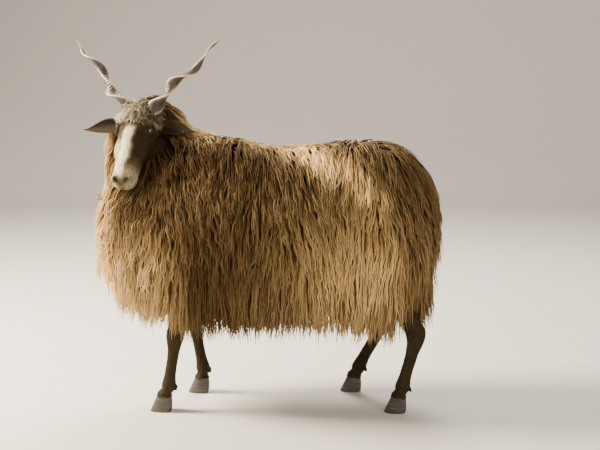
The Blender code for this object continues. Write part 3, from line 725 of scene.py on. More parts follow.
def scatter(obj, keep, count, spacing, crowd=None):
    """Roots set evenly over the faces that keep allows, closer where crowd is below 1, with normals."""
    mesh = obj.data
    mesh.calc_loop_triangles()
    triangles = np.array([t.vertices for t in mesh.loop_triangles])
    verts = np.array([v.co for v in mesh.vertices])
    a, b, c = verts[triangles[:, 0]], verts[triangles[:, 1]], verts[triangles[:, 2]]
    cross = np.cross(b - a, c - a)
    area = np.linalg.norm(cross, axis=1)
    normals = cross / np.maximum(area, 1e-12)[:, None]
    middles = (a + b + c) / 3
    usable = np.array([keep(p, n) for p, n in zip(middles, normals)])
    close = crowd(middles) if crowd else np.ones(len(area))
    weight = np.cumsum(area * usable / close**2)
    picks = np.searchsorted(weight, chance.random(count * 14) * weight[-1])
    u, v = np.sort(chance.random((2, count * 14)), axis=0)
    places = a[picks] * u[:, None] + b[picks] * (v - u)[:, None] + c[picks] * (1 - v)[:, None]
    cells, roots = {}, []
    for place, normal, near_by in zip(places, normals[picks], spacing * close[picks]):
        cell = tuple(np.floor(place / spacing).astype(int))
        near = [
            other
            for dx in (-1, 0, 1)
            for dy in (-1, 0, 1)
            for dz in (-1, 0, 1)
            for other in cells.get((cell[0] + dx, cell[1] + dy, cell[2] + dz), ())
        ]
        if any(np.dot(place - other, place - other) < near_by**2 for other in near):
            continue
        cells.setdefault(cell, []).append(place)
        roots.append((Vector(place), Vector(normal)))
        if len(roots) >= count:
            break
    return roots


def crowding(places):
    """How much closer locks grow on the neck, chest, hem and back than on the flanks."""
    x, z = places[:, 0], places[:, 2]
    closer = np.maximum(0.26 * climb(x, -0.26, -0.06), 0.32 * climb(z, 0.42, -0.06))
    closer = np.maximum(closer, 0.26 * climb(z, 0.55, 0.05))
    return np.where(past_parting(places) > -0.02, 0.68, 1 - closer)


def lock_path(core, tips, bare, root, normal, length, share, drift):
    """Points down one lock, out to its share of the coat's depth, pressed in or cut short beside the face."""
    points, normals = [root - normal * 0.003], [normal.copy()]
    place, step = root.copy(), length / (POINTS - 1)
    hanging = False
    for i in range(1, POINTS):
        t = i / (POINTS - 1)
        if hanging:
            place = place + (DOWN + Vector((drift * 0.5, 0, 0))) * step
            if covers_face(bare, place):
                break
        else:
            place = place + (lie_of(place, normal) + Vector((drift, 0, 0))).normalized() * step
            near, normal, _, _ = core.find_nearest(place)
            hanging = normal.z < -0.12
            hit, _, _, reach = tips.ray_cast(near + normal * 0.001, normal, 0.2)
            rise = 0.6 - 0.42 * min(1, max(0, (normal.z - 0.45) / 0.4))
            lift = min(reach if hit else 0.04, COAT_REACH) * share * min(1, (t * 1.8) ** rise)
            press = [x for x in PRESS if not covers_face(bare, near + normal * lift * x)]
            if not press:
                break
            place = near + normal * lift * press[0]
        points.append(place.copy())
        normals.append(normal.copy())
    return points, normals


def fleece_paths(core, tips, bare, roots):
    """Every lock's middle line with its normals, cut to the hem and clear of the head and ears."""
    paths = []
    for root, normal in roots:
        share = depth_share(root)
        low_share = float(np.clip((0.46 - root.z) / 0.10, 0, 1))
        length = LOCK_LENGTH + (HEM_LENGTH - LOCK_LENGTH) * low_share
        if on_neck(root):
            high_share = float(np.clip((root.z - 0.62) / 0.12, 0, 1))
            length += (POLL_LENGTH - length) * high_share
        length *= chance.uniform(0.75, 1.2)
        drift = sway_of(root) + chance.normal(0.0, 0.07)
        points, normals = lock_path(core, tips, bare, root, normal, length, share, drift)
        low = hem_height(points[-1].x) + chance.normal(0.0, 0.014)
        if points[-1].z < low:
            length *= max(0.3, (root.z - low) / (root.z - points[-1].z))
            points, normals = lock_path(core, tips, bare, root, normal, length, share, drift)
        count = straight_count(points)
        if count > 4:
            paths.append((reread(points[:count]), reread(normals[:count])))
    return paths


def straight_count(points):
    """How many points of a lock come before its first sharp turn."""
    for i in range(2, len(points) - 1):
        if (points[i] - points[i - 1]).normalized().dot((points[i + 1] - points[i]).normalized()) < 0.35:
            return i + 1
    return len(points)


def depth_share(root):
    """How far out of the coat a lock reaches: some lie deep, and those behind the horns stay low."""
    deep = chance.random() < 0.25
    share = chance.uniform(0.5, 0.8) if deep else chance.uniform(0.88, 1.0)
    if root.z > HIGH_POLL:
        return share * 0.28
    share *= 1 - 0.20 * min(1, max(0, (root.z - 0.57) / 0.05))
    return share * (1 - 0.12 * min(1, max(0, (-0.33 - root.x) / 0.04)))


def sway_of(place):
    """A slow swing of the locks to and fro along the flank, so that neighbours lean alike."""
    x, z = place.x, place.z
    return 0.15 * math.sin(23 * x + 9 * z) + 0.12 * math.sin(61 * x - 31 * z + 4 * place.y) - 0.05


def reread(rows):
    """A line of vectors read at POINTS even places."""
    rows = np.array([list(row) for row in rows])
    at = np.linspace(0, len(rows) - 1, POINTS)
    return np.stack([np.interp(at, np.arange(len(rows)), rows[:, axis]) for axis in range(3)], axis=1)


def covers_face(bare, place):
    return in_face_room(place) or any(inside(tree, place, 0.005) for tree in bare)


def inside(tree, place, margin):
    """Whether a place is inside a closed surface, or nearer to it than the margin."""
    near, normal, _, far = tree.find_nearest(place)
    return far < margin or (far < 0.06 and (place - near).dot(normal) < 0)


def soften_lines(points):
    """Evens out kinks along lines of points, ends kept."""
    for _ in range(2):
        points[:, 1:-1] = (points[:, :-2] + 2 * points[:, 1:-1] + points[:, 2:]) / 4
    return points


def unit(vectors):
    return vectors / np.maximum(np.linalg.norm(vectors, axis=-1, keepdims=True), 1e-12)


def frames_of(points, normals):
    """Across and outward directions along lines of points."""
    ahead = np.gradient(points, axis=-2)
    across = unit(np.cross(ahead, normals))
    return across, unit(np.cross(across, ahead))


def unwrap(places):
    """Each root's place on the skin laid out flat: along the animal, and round it."""
    x, y, z = places[:, 0], places[:, 1], places[:, 2]
    round_it = np.arctan2(y - 0.02 * (x < -0.2), z - 0.48) / (2 * math.pi) + 0.5
    neck = past_parting(places) > 0
    neck_turn = np.arctan2(y - 0.035, x + 0.27) / (2 * math.pi) + 0.5
    u = np.where(neck, 0.70 + 0.28 * climb(z, 0.45, 0.40), 0.02 + 0.64 * climb(x, -0.40, 0.90))
    v = np.where(neck, neck_turn, round_it)
    return np.stack([u, 0.02 + 0.96 * v], axis=1)


def strand_mesh(name, lines, across, out, widths, tints, pale_and_sunlit_values, uv, material, ridge=0.55):
    """Closed three-sided strands along lines of points, each run out to a point, as one mesh."""
    count, points = lines.shape[:2]
    t = np.linspace(0, 1, points)
    half = widths[:, None] / 2 * (1 - t**2.4)[None] * (0.55 + 0.45 * np.minimum(1, t * 6))[None]
    half = half[:, :-1, None]
    middle, across, out = lines[:, :-1], across[:, :-1], out[:, :-1]
    sides = [middle + across * w * half + out * o * half for w, o in ((-1, -0.3), (0, ridge), (1, -0.3))]
    rings = np.stack(sides, axis=2).reshape(count, -1, 3)
    verts = np.concatenate([rings, lines[:, -1:]], axis=1)
    each = verts.shape[1]
    start = (np.arange(count) * each)[:, None, None]
    i = (np.arange(points - 2) * 3)[:, None]
    k, nxt = np.array([0, 1, 2]), np.array([1, 2, 0])
    quads = np.stack([i + k, i + nxt, i + 3 + nxt, i + 3 + k], axis=-1).reshape(1, -1, 4) + start
    last = each - 4
    ends = np.array([[2, 1, 0]] + [[last + a, last + b, each - 1] for a, b in zip(k, nxt)])[None] + start
    quads, ends = quads.reshape(-1, 4), ends.reshape(-1, 3)
    loops = np.concatenate([quads.ravel(), ends.ravel()]).astype(np.int32)
    starts = np.concatenate([np.arange(len(quads)) * 4, len(quads) * 4 + np.arange(len(ends)) * 3])
    mesh = bpy.data.meshes.new(name)
    mesh.vertices.add(count * each)
    mesh.vertices.foreach_set("co", verts.astype(np.float32).ravel())
    mesh.loops.add(len(loops))
    mesh.loops.foreach_set("vertex_index", loops)
    mesh.polygons.add(len(starts))
    mesh.polygons.foreach_set("loop_start", starts.astype(np.int32))
    mesh.update(calc_edges=True)
    mesh.polygons.foreach_set("use_smooth", np.ones(len(starts), bool))
    down = np.append(np.repeat(t[:-1], 3), 1.0)
    # the third value is how pale each strand is, painted light and shadow included
    for label, values in (
        ("along", np.tile(down, count)),
        ("tint", np.repeat(tints, each)),
        ("pale_and_sunlit", np.repeat(pale_and_sunlit_values, each)),
    ):
        add_values(mesh, label, values)
    beside = np.append(np.tile([-0.5, 0.0, 0.5], points - 1), 0.0)
    patch = uv[:, None] + PATCH * np.stack([beside, down - 0.5], axis=1)[None]
    layer = mesh.uv_layers.new(name="OFBake")
    layer.data.foreach_set("uv", patch.reshape(-1, 2)[loops].astype(np.float32).ravel())
    mesh.validate()
    mesh.materials.append(material)
    return add_object(name, mesh)


def bleach_and_painted_light(places):
    """How pale the wool is, partly bleached and partly painted light: a slanting stripe of painted sunlight
    over the back where the wool is also bleached, painted shadow below it and on the upper neck under the
    head, a hind flank paler from bleaching and from a painted pool of light, and painted sunlight on chest
    and front.
    """
    x, z = places[:, 0], places[:, 2]
    line = np.minimum(0.735, 0.722 - 0.36 * x - 0.355 * np.maximum(0, x - 0.10))
    # painted sunlight grazing the top of the back, over wool that is bleached there too
    bleached_sunlit_band = hump(z, line, 0.036) * climb(x, -0.21, 0.08) * climb(x, 0.35, -0.07)
    # painted shadow in a stripe below the sunlit one
    beneath = hump(z - line, -0.090, 0.045) * climb(x, 0.24, -0.10)
    # painted shadow of the head on the upper neck
    head_shadow_on_neck = climb(z, 0.56, 0.04) * climb(x, -0.13, -0.04)
    # base paleness, darkened by both painted shadows and a little paler towards the rear; the next line makes
    # it a little paler over the shoulder
    base = 0.070 * (1 - 0.9 * np.maximum(beneath, head_shadow_on_neck)) + 0.04 * climb(x, -0.05, 0.15)
    base += 0.05 * hump(x, -0.17, 0.08) * hump(z, 0.51, 0.07)
    # hind flank: paler from bleaching and from a painted pool of light, with painted shade towards the rear
    # edge
    hind = hump(x, 0.28, 0.18) * hump(z, 0.34, 0.15) * (1 - 0.6 * climb(x, 0.345, 0.04))
    # painted sunlight on the lower chest and along the front
    chest = climb(x, -0.16, -0.12) * climb(z, 0.50, -0.13)
    front = climb(x, -0.350, -0.045)
    return np.clip(base + 0.66 * hind + 1.05 * bleached_sunlit_band + 0.60 * chest + 0.58 * front, 0, 1)


def strands_of(points, normals, radius, crimp, crimp_length, curl, stray):
    """Fine wavy strands round every lock's line, with the ways across and out of them."""
    locks = len(points)
    across, out = frames_of(points, normals)
    t = np.linspace(0, 1, POINTS)[None, None]
    length = np.linalg.norm(np.diff(points, axis=1), axis=2).sum(1)[:, None, None]
    turn = chance.uniform(0, 2 * math.pi, (locks, STRANDS, 1))
    reach = np.sqrt(chance.random((locks, STRANDS, 1)))
    reach[:, 0] *= 0.3
    narrowing = chance.uniform(0.1, 0.6, (locks, 1, 1))
    spread = radius * (1.0 - narrowing * t**1.5) * chance.uniform(0.65, 1.35, (locks, 1, 1))
    swing = crimp * (0.35 + 0.65 * t) * chance.uniform(0.5, 1.4, (locks, 1, 1))
    swing = swing * (1 - 0.5 * climb(normals[:, :1, 2:], 0.5, 0.4))
    phase = chance.uniform(0, 2 * math.pi, (locks, 1, 1)) + chance.normal(0, 0.5, (locks, STRANDS, 1))
    beat = 2 * math.pi * t * length / (crimp_length * chance.uniform(0.75, 1.3, (locks, 1, 1)))
    drift = chance.normal(0, stray, (locks, STRANDS, 1)) * t**2
    lifted = curl * chance.uniform(-0.6, 1.0, (locks, 1, 1)) * t**4
    side = reach * np.cos(turn) * spread + swing * np.sin(beat + phase) + drift
    lift = reach * np.sin(turn) * spread * 0.6 + 0.6 * swing * np.cos(beat * 0.9 + phase) + lifted
    lines = points[:, None] + across[:, None] * side[..., None] + out[:, None] * lift[..., None]
    lines = shorten(lines, chance.uniform(0.84, 1.0, (locks, STRANDS, 1)))
    lines = lines.reshape(-1, POINTS, 3)
    return lines, *frames_of(lines, np.repeat(normals, STRANDS, axis=0))


def tints_of(locks):
    """A shade for each strand, close to its lock's."""
    tints = chance.normal(0.5, 0.16, (locks, 1)) + chance.normal(0, 0.12, (locks, STRANDS))
    return np.clip(tints, 0, 1).ravel()


def grow_fleece(paths, material):
    """The strands of the fleece, in pieces sorted from front to rear."""
    points = soften_lines(np.array([line for line, _ in paths]))
    normals = unit(np.array([lines for _, lines in paths]))
    locks = len(points)
    lines, across, out = strands_of(points, normals, LOCK_RADIUS, CRIMP, CRIMP_LENGTH, TIP_CURL, STRAY)
    tints = tints_of(locks)
    # each lock takes the paleness of the wool map near its tip, painted light and shadow included
    pale_and_sunlit_values = bleach_and_painted_light(points[:, POINTS * 7 // 8])
    pale_and_sunlit_values = np.repeat(pale_and_sunlit_values * chance.uniform(0.85, 1.15, locks) + chance.normal(0, 0.02, locks), STRANDS)
    pale_and_sunlit_values = np.clip(pale_and_sunlit_values, 0, 1)
    widths = np.tile(STRAND_WIDTHS, locks) * chance.uniform(0.75, 1.25, locks * STRANDS)
    widths *= 1 + 0.35 * np.repeat(climb(points[:, -1, 2], 0.36, -0.10), STRANDS)
    uv = np.repeat(unwrap(points[:, 0]), STRANDS, axis=0)
    uv = uv + chance.uniform(-0.002, 0.002, uv.shape)
    order = np.argsort(np.repeat(points[:, 0, 0], STRANDS), kind="stable")
    pieces = []
    for n, first in enumerate(range(0, len(order), PIECE_STRANDS)):
        pick = order[first : first + PIECE_STRANDS]
        values = (lines[pick], across[pick], out[pick], widths[pick], tints[pick], pale_and_sunlit_values[pick], uv[pick])
        pieces.append(strand_mesh(f"coat_{n + 1:02d}", *values, material))
    return pieces


def bears_tuft(place):
    """Whether a place on the head is on the forehead or crown, clear of the horns and eyes."""
    down, side, out = in_head(place)
    if not (-0.035 < down < 0.060 and abs(side) < 0.052 - 0.33 * max(0, down - 0.02) and out > -0.055):
        return False
    down, aside, _ = HORN_ROOT
    return min((place - to_head(down, k * aside, out)).length for k in (-1, 1)) > 0.009


def brow_tuft(skin, surface, material):
    """Short curly locks that stand up from the crown and hang over the forehead."""
    roots = scatter(skin, lambda p, n: bears_tuft(Vector(p)), TUFT_LOCKS, TUFT_SPACING)
    points, normals = [], []
    for root, normal in roots:
        low_share = min(1, max(0, in_head(root)[0] / 0.06))
        length = TUFT_LENGTH * (1.25 - 0.6 * low_share) * chance.uniform(0.6, 1.3)
        way = (normal + FACE_DOWN * 0.6 + Vector(chance.normal(0, 0.35, 3))).normalized()
        place, line, along = root - normal * 0.002, [], []
        for i in range(POINTS):
            line.append(list(place))
            along.append(list(normal))
            way = (way + DOWN * 0.16 + Vector(chance.normal(0, 0.12, 3))).normalized()
            place = place + way * length / (POINTS - 1)
            near, facing, _, _ = surface.find_nearest(place)
            if i and (place - near).dot(facing) < 0.003:
                place = near + facing * 0.003
                way = (way - facing * min(0, way.dot(facing))).normalized()
        points.append(line)
        normals.append(along)
    points, normals = np.array(points), np.array(normals)
    curls = {"radius": 0.0052, "crimp": 0.0025, "crimp_length": 0.017, "curl": 0.003, "stray": 0.006}
    lines, across, out = strands_of(points, normals, **curls)
    count = len(lines)
    widths = np.tile(TUFT_WIDTHS, len(roots)) * chance.uniform(0.8, 1.2, count)
    _, side, _ = all_in_head(points[:, POINTS // 2])
    # pale over the middle and the head's right side, darker towards its left: pale wool with painted light
    # and shade laid across it
    pale_and_sunlit_values = np.repeat(np.clip(0.95 - (side + 0.020) / 0.055, 0.12, 1), STRANDS)
    pale_and_sunlit_values = np.clip(pale_and_sunlit_values + chance.normal(0, 0.08, count), 0, 1)
    uv = np.repeat(unwrap_head(points[:, 0]), STRANDS, axis=0)
    return strand_mesh("coat_brow", lines, across, out, widths, tints_of(len(roots)), pale_and_sunlit_values, uv, material)


def hair_length(place):
    """How long the short hair is at a place; none grows on eyes, nose, lips and claws."""
    down, side, out = in_head(place)
    side = abs(side)
    if place.z < LEG_TOP:
        behind = max(0, 1 - abs(place.z - 0.066) / 0.018)
        return 0.008 + 0.006 * behind if place.z > HOOF_HEIGHT + 0.001 else 0
    if not (-0.05 < down < 0.25 and side < 0.18 and -0.115 < out < 0.06):
        return 0
    if side > EAR_START:
        return 0.007
    if min((place - eye_centre(k)).length for k in (-1, 1)) < EYE_RADIUS + 0.0045:
        return 0
    if down > 0.206:
        return 0.0035 if down < 0.218 and out > -0.02 else 0
    return 0.0055 + 0.008 * min(1, max(0, -0.055 - out) / 0.03)


def hair_lie(place):
    """The way short hair lies: down the legs and face, out along the ears."""
    side = in_head(place)[1]
    if place.z < LEG_TOP:
        return DOWN
    if abs(side) > EAR_START:
        return HEAD_LEFT * math.copysign(1, side) + FACE_DOWN * 0.15
    return FACE_DOWN - FACE_OUT * (0.35 if abs(side) > 0.03 else 0.0)


def short_hair(name, skin, surface, on_head, count, unwrapped, material):
    """Short hairs that lie close along the skin of head or legs and break its outline a little."""

    def bears_hair(place, _):
        place = Vector(place)
        return (place.z >= LEG_TOP) == on_head and hair_length(place) > 0

    roots = scatter(skin, bears_hair, count, HAIR_SPACING)
    lines, normals, greys = [], [], []
    for root, normal in roots:
        length = hair_length(root) * chance.uniform(0.7, 1.25)
        sway = Vector(chance.normal(0, 0.16, 3))
        place, line, along = root.copy(), [root - normal * 0.001], [normal.copy()]
        for i in range(1, HAIR_POINTS):
            t = i / (HAIR_POINTS - 1)
            way = hair_lie(place) + sway
            way = (way - normal * way.dot(normal)).normalized()
            place = place + way * length / (HAIR_POINTS - 1)
            near, normal, _, _ = surface.find_nearest(place)
            line.append(near + normal * (0.0003 + length * 0.10 * t))
            along.append(normal.copy())
            place = near
        lines.append(line)
        normals.append(along)
        # each hair takes the paleness of the skin at its root, painted sunlight included
        greys.append(grey_and_sunlit(np.array(root)[None])[0])
    lines, normals = np.array(lines), unit(np.array(normals))
    across, out = frames_of(lines, normals)
    widths = HAIR_WIDTH * chance.uniform(0.7, 1.3, len(lines))
    tints = np.clip(chance.normal(0.5, 0.2, len(lines)), 0, 1)
    uv = unwrapped(lines[:, 0])
    hairs = strand_mesh(name, lines, across, out, widths, tints, np.array(greys), uv, material, ridge=0.1)
    hairs.data.shade_flat()
    return hairs


def grey_and_sunlit(places):
    """How pale the short hair is: muzzle, bridge and over the eyes, and, as painted sunlight, most of the
    face's right side.
    """
    down, side, out = all_in_head(places)
    near = (down > -0.05) & (down < 0.27) & (np.abs(side) < EAR_START) & (out > -0.12)
    sway = 0.0025 * np.sin(70 * down) + 0.0012 * np.sin(210 * down + 60 * side)
    middle = 0.0035 - 0.07 * (down - 0.08)
    bridge = climb(np.abs(side - middle + sway), 0.0215, -0.012) * climb(down, 0.070, 0.02)
    bridge = bridge * climb(out, -0.025, 0.02)
    # painted sunlight over the face's right side, which faces the key light
    cheek = climb(side, -0.006, -0.010) * climb(down, 0.095, 0.03)
    cheek = 0.75 * cheek * climb(out, -0.065, 0.02)
    muzzle = 0.62 * climb(down, 0.155, 0.045)
    brow = 0.5 * hump(down, 0.052, 0.016) * climb(np.abs(side), 0.022, 0.01)
    pale = np.maximum(np.maximum(bridge, cheek), np.maximum(muzzle, brow))
    for k in (-1, 1):
        pale = pale * climb(distances(places, eye_centre(k)), 0.017, 0.008)
        corner = hump(down, 0.092, 0.012) * hump(side, k * 0.026, 0.008)
        tear = hump(down, 0.115, 0.012) * hump(side, k * 0.019, 0.0035)
        pale = pale * (1 - 0.85 * np.maximum(corner, 0.8 * tear))
        pale = pale * (1 - 0.8 * hump(distances(places, on_side(NOSTRIL_PLACE, k)), 0, 0.009))
    nose = hump(down, 0.232, 0.009) * hump(side, 0, 0.012)
    return np.where(near, pale * (1 - 0.5 * nose), 0)


def distances(places, centre):
    return np.linalg.norm(places - np.array(centre), axis=1)


def unwrap_head(places):
    """The head laid out flat: down it and round it, with the ears beside it."""
    down, side, out = all_in_head(places)
    round_it = np.arctan2(side, out + 0.05) / (2 * math.pi) + 0.5
    ear = np.abs(side) > EAR_START
    u = np.where(ear, 0.72 + 0.25 * (np.abs(side) - 0.06) / 0.12, 0.02 + 0.66 * climb(down, -0.05, 0.30))
    ear_v = 0.25 + 0.5 * (side > 0) + 0.2 * np.clip((down - 0.05) / 0.04, -1, 1)
    return np.stack([u, np.where(ear, ear_v, 0.02 + 0.96 * round_it)], axis=1)


def unwrap_legs(places):
    """The four legs laid out flat beside one another: up each and round it."""
    which = 2 * (places[:, 0] > 0) + (places[:, 1] > 0)
    middle = np.array([-0.215, -0.168, 0.38, 0.29])[which]
    turn = np.arctan2(places[:, 1] - 0.094 * np.sign(places[:, 1]), places[:, 0] - middle)
    u = 0.02 + 0.24 * which + 0.20 * (turn / (2 * math.pi) + 0.5)
    return np.stack([u, 0.02 + 0.96 * np.clip(places[:, 2] / 0.32, 0, 1)], axis=1)


def shorten(lines, share):
    """Reads each line again over its first share."""
    count = lines.shape[-2]
    at = np.linspace(0, 1, count)[None, None] * share * (count - 1)
    low = np.minimum(at.astype(int), count - 2)
    part = (at - low)[..., None]
    a = np.take_along_axis(lines, low[..., None], axis=2)
    b = np.take_along_axis(lines, low[..., None] + 1, axis=2)
    return a * (1 - part) + b * part


# Materials


def new_material(name):
    material = bpy.data.materials.new(name)
    material.use_nodes = True
    tree = material.node_tree
    return material, tree, tree.nodes["Principled BSDF"]


def finish(tree, shader, colour, roughness, specular=0.5):
    tree.links.new(colour, shader.inputs["Base Color"])
    shader.inputs["Roughness"].default_value = roughness
    shader.inputs["Specular IOR Level"].default_value = specular


def node(tree, kind, **values):
    made = tree.nodes.new(kind)
    for key, value in values.items():
        setattr(made, key, value)
    return made


def attribute(tree, name):
    return node(tree, "ShaderNodeAttribute", attribute_name=name).outputs["Fac"]


def strand_values(tree):
    """The place along a strand, its random tone and how pale it is, painted light and shadow included."""
    return (attribute(tree, name) for name in ("along", "tint", "pale_and_sunlit"))


def ramp(tree, source, stops):
    """Colours along a value from 0 to 1."""
    made = tree.nodes.new("ShaderNodeValToRGB")
    while len(made.color_ramp.elements) < len(stops):
        made.color_ramp.elements.new(0.5)
    for element, (place, colour) in zip(made.color_ramp.elements, stops):
        element.position = place
        element.color = (*colour, 1)
    tree.links.new(source, made.inputs["Fac"])
    return made.outputs["Color"]


def mix(tree, factor, a, b, blend="MIX"):
    made = node(tree, "ShaderNodeMix", data_type="RGBA", blend_type=blend)
    for socket, value in ((made.inputs[0], factor), (made.inputs[6], a), (made.inputs[7], b)):
        if isinstance(value, bpy.types.NodeSocket):
            tree.links.new(value, socket)
        elif isinstance(value, (int, float)):
            socket.default_value = value
        else:
            socket.default_value = (*value, 1)
    return made.outputs[2]


def times(tree, colour, *shades):
    """A colour multiplied by each shade in turn."""
    for shade in shades:
        colour = mix(tree, 1.0, colour, shade, "MULTIPLY")
    return colour


def noise(tree, scale, stretch=(1, 1, 1), detail=4.0, roughness=0.55):
    place = tree.nodes.new("ShaderNodeTexCoord")
    mapping = tree.nodes.new("ShaderNodeMapping")
    mapping.inputs["Scale"].default_value = stretch
    tree.links.new(place.outputs["Object"], mapping.inputs["Vector"])
    made = tree.nodes.new("ShaderNodeTexNoise")
    made.inputs["Scale"].default_value = scale
    made.inputs["Detail"].default_value = detail
    made.inputs["Roughness"].default_value = roughness
    tree.links.new(mapping.outputs["Vector"], made.inputs["Vector"])
    return made.outputs["Fac"]


def bump(tree, shader, height, strength, distance):
    made = tree.nodes.new("ShaderNodeBump")
    made.inputs["Strength"].default_value = strength
    made.inputs["Distance"].default_value = distance
    tree.links.new(height, made.inputs["Height"])
    tree.links.new(made.outputs["Normal"], shader.inputs["Normal"])


def wool_material():
    material, tree, shader = new_material("wool")
    along, tint, pale_and_sunlit = strand_values(tree)
    dark = [(0.0, (0.030, 0.0140, 0.0031)), (0.4, (0.037, 0.0173, 0.0038)), (1.0, (0.048, 0.0226, 0.0050))]
    pale = [(0.0, (0.32, 0.185, 0.062)), (0.35, (0.62, 0.385, 0.145)), (1.0, (1.0, 0.72, 0.34))]
    # dark and pale wool mixed by how bleached each lock is and by painted sunlight and painted shadow
    colour = mix(tree, pale_and_sunlit, ramp(tree, along, dark), ramp(tree, along, pale))
    shade = ramp(tree, tint, [(0.0, (0.78, 0.77, 0.75)), (0.5, (1.0, 1.0, 1.0)), (1.0, (1.22, 1.21, 1.19))])
    fibres = noise(tree, 700, stretch=(1, 1, 0.12), detail=3)
    streaks = ramp(tree, fibres, [(0.35, (0.80, 0.79, 0.78)), (0.65, (1.20, 1.20, 1.20))])
    finish(tree, shader, times(tree, colour, shade, streaks), 0.75, 0.08)
    bump(tree, shader, fibres, 0.4, 0.001)
    return material


def tuft_material():
    """The pale wool of the forehead, darkened by painted shade towards the head's left side."""
    material, tree, shader = new_material("tuft_wool")
    along, tint, pale_and_sunlit = strand_values(tree)
    dark = [(0.0, (0.020, 0.014, 0.007)), (1.0, (0.10, 0.072, 0.038))]
    pale = [(0.0, (0.12, 0.090, 0.052)), (0.5, (0.48, 0.39, 0.25)), (1.0, (0.85, 0.74, 0.54))]
    colour = mix(tree, pale_and_sunlit, ramp(tree, along, dark), ramp(tree, along, pale))
    shade = ramp(tree, tint, [(0.0, (0.6, 0.58, 0.56)), (1.0, (1.35, 1.33, 1.3))])
    finish(tree, shader, times(tree, colour, shade), 0.65, 0.2)
    return material


def face_colours(tree, grey):
    """Black-brown hair that turns to pale grey."""
    dark = [(0.0, (0.027, 0.0190, 0.0088)), (0.35, (0.090, 0.067, 0.036))]
    pale = [(0.7, (0.32, 0.262, 0.165)), (1.0, (0.74, 0.63, 0.43))]
    return ramp(tree, grey, dark + pale)


def hair_material():
    """The short hairs, coloured as the skin they stand on."""
    material, tree, shader = new_material("short_hairs")
    along, tint, grey = strand_values(tree)
    shade = ramp(tree, tint, [(0.0, (0.7, 0.7, 0.7)), (1.0, (1.3, 1.3, 1.3))])
    lighter = ramp(tree, along, [(0.0, (1.1, 1.1, 1.1)), (1.0, (1.8, 1.77, 1.72))])
    finish(tree, shader, times(tree, face_colours(tree, grey), shade, lighter), 0.7, 0.08)
    return material


def skin_material():
    """Short black-brown hair, pale on bridge and muzzle with painted sunlight over the face's right side, and
    the dark underwool beneath the locks, paler where bleached and where light is painted.
    """
    material, tree, shader = new_material("short_hair")
    woolly, grey = attribute(tree, "woolly"), attribute(tree, "muzzle")
    fine = noise(tree, 300, stretch=(1, 1, 0.22), detail=5)
    broad = noise(tree, 26)
    shade = ramp(tree, fine, [(0.30, (0.55, 0.54, 0.53)), (0.70, (1.40, 1.40, 1.40))])
    patches = ramp(tree, broad, [(0.35, (0.78, 0.77, 0.74)), (0.65, (1.18, 1.17, 1.15))])
    hair = times(tree, face_colours(tree, grey), shade, patches)
    fibres = noise(tree, 330, stretch=(1, 1, 0.10))
    # the underwool, paler where bleached and where painted sunlight lies, darker under painted shadow
    under = mix(tree, attribute(tree, "pale_and_sunlit"), (0.055, 0.0257, 0.0057), (0.56, 0.345, 0.130))
    streaks = ramp(tree, fibres, [(0.35, (0.55, 0.53, 0.51)), (0.65, (1.45, 1.45, 1.45))])
    finish(tree, shader, mix(tree, woolly, hair, times(tree, under, streaks)), 0.7, 0.08)
    bump(tree, shader, fine, 0.5, 0.0015)
    return material


def horn_material():
    material, tree, shader = new_material("ringed_horn")
    dark = [(0.0, (0.045, 0.031, 0.019)), (0.5, (0.10, 0.070, 0.043))]
    pale = [(0.8, (0.36, 0.28, 0.185)), (1.0, (0.82, 0.71, 0.53))]
    # pale keels: a painted highlight along the horn's ridges; its flat faces stay dark brown
    base = ramp(tree, attribute(tree, "edge"), dark + pale)
    tip = [(0.0, (0.75, 0.72, 0.70)), (0.6, (1, 1, 1)), (1.0, (1.5, 1.45, 1.35))]
    tipped = ramp(tree, attribute(tree, "along"), tip)
    streaks = noise(tree, 90, detail=6, roughness=0.65)
    worn = ramp(tree, streaks, [(0.3, (0.6, 0.57, 0.54)), (0.7, (1.25, 1.22, 1.18))])
    finish(tree, shader, times(tree, base, tipped, worn), 0.5)
    bump(tree, shader, noise(tree, 420), 0.35, 0.001)
    return material


def hoof_material():
    material, tree, shader = new_material("hoof_horn")
    bands = noise(tree, 60, stretch=(0.4, 0.4, 5))
    greys = [(0.3, (0.020, 0.016, 0.013)), (0.55, (0.055, 0.045, 0.036)), (0.8, (0.13, 0.11, 0.085))]
    finish(tree, shader, ramp(tree, bands, greys), 0.55)
    bump(tree, shader, bands, 0.4, 0.001)
    return material


def eye_material():
    material, tree, shader = new_material("wet_eye")
    amber = [(0.0, (0.030, 0.015, 0.005)), (0.5, (0.055, 0.027, 0.008))]
    rim = [(0.62, (0.008, 0.005, 0.003)), (1.0, (0.02, 0.014, 0.010))]
    iris = ramp(tree, attribute(tree, "from_middle"), amber + rim)
    finish(tree, shader, mix(tree, attribute(tree, "slit"), iris, (0.002, 0.002, 0.002)), 0.14)
    shader.inputs["Coat Weight"].default_value = 0.5
    shader.inputs["Coat Roughness"].default_value = 0.05
    return material


def plain_material(name, colour, roughness):
    material, _, shader = new_material(name)
    shader.inputs["Base Color"].default_value = (*colour, 1)
    shader.inputs["Roughness"].default_value = roughness
    return material


def cover_with(mesh, material, sharp=180):
    """Gives a mesh its one material, smooth but for edges over an angle in degrees."""
    mesh.shade_smooth()
    if sharp < 180:
        mesh.set_sharp_from_angle(angle=math.radians(sharp))
    mesh.materials.clear()
    mesh.materials.append(material)


def add_values(mesh, name, values):
    layer = mesh.attributes.new(name, "FLOAT", "POINT")
    layer.data.foreach_set("value", np.asarray(values, np.float32))


# The separate pieces


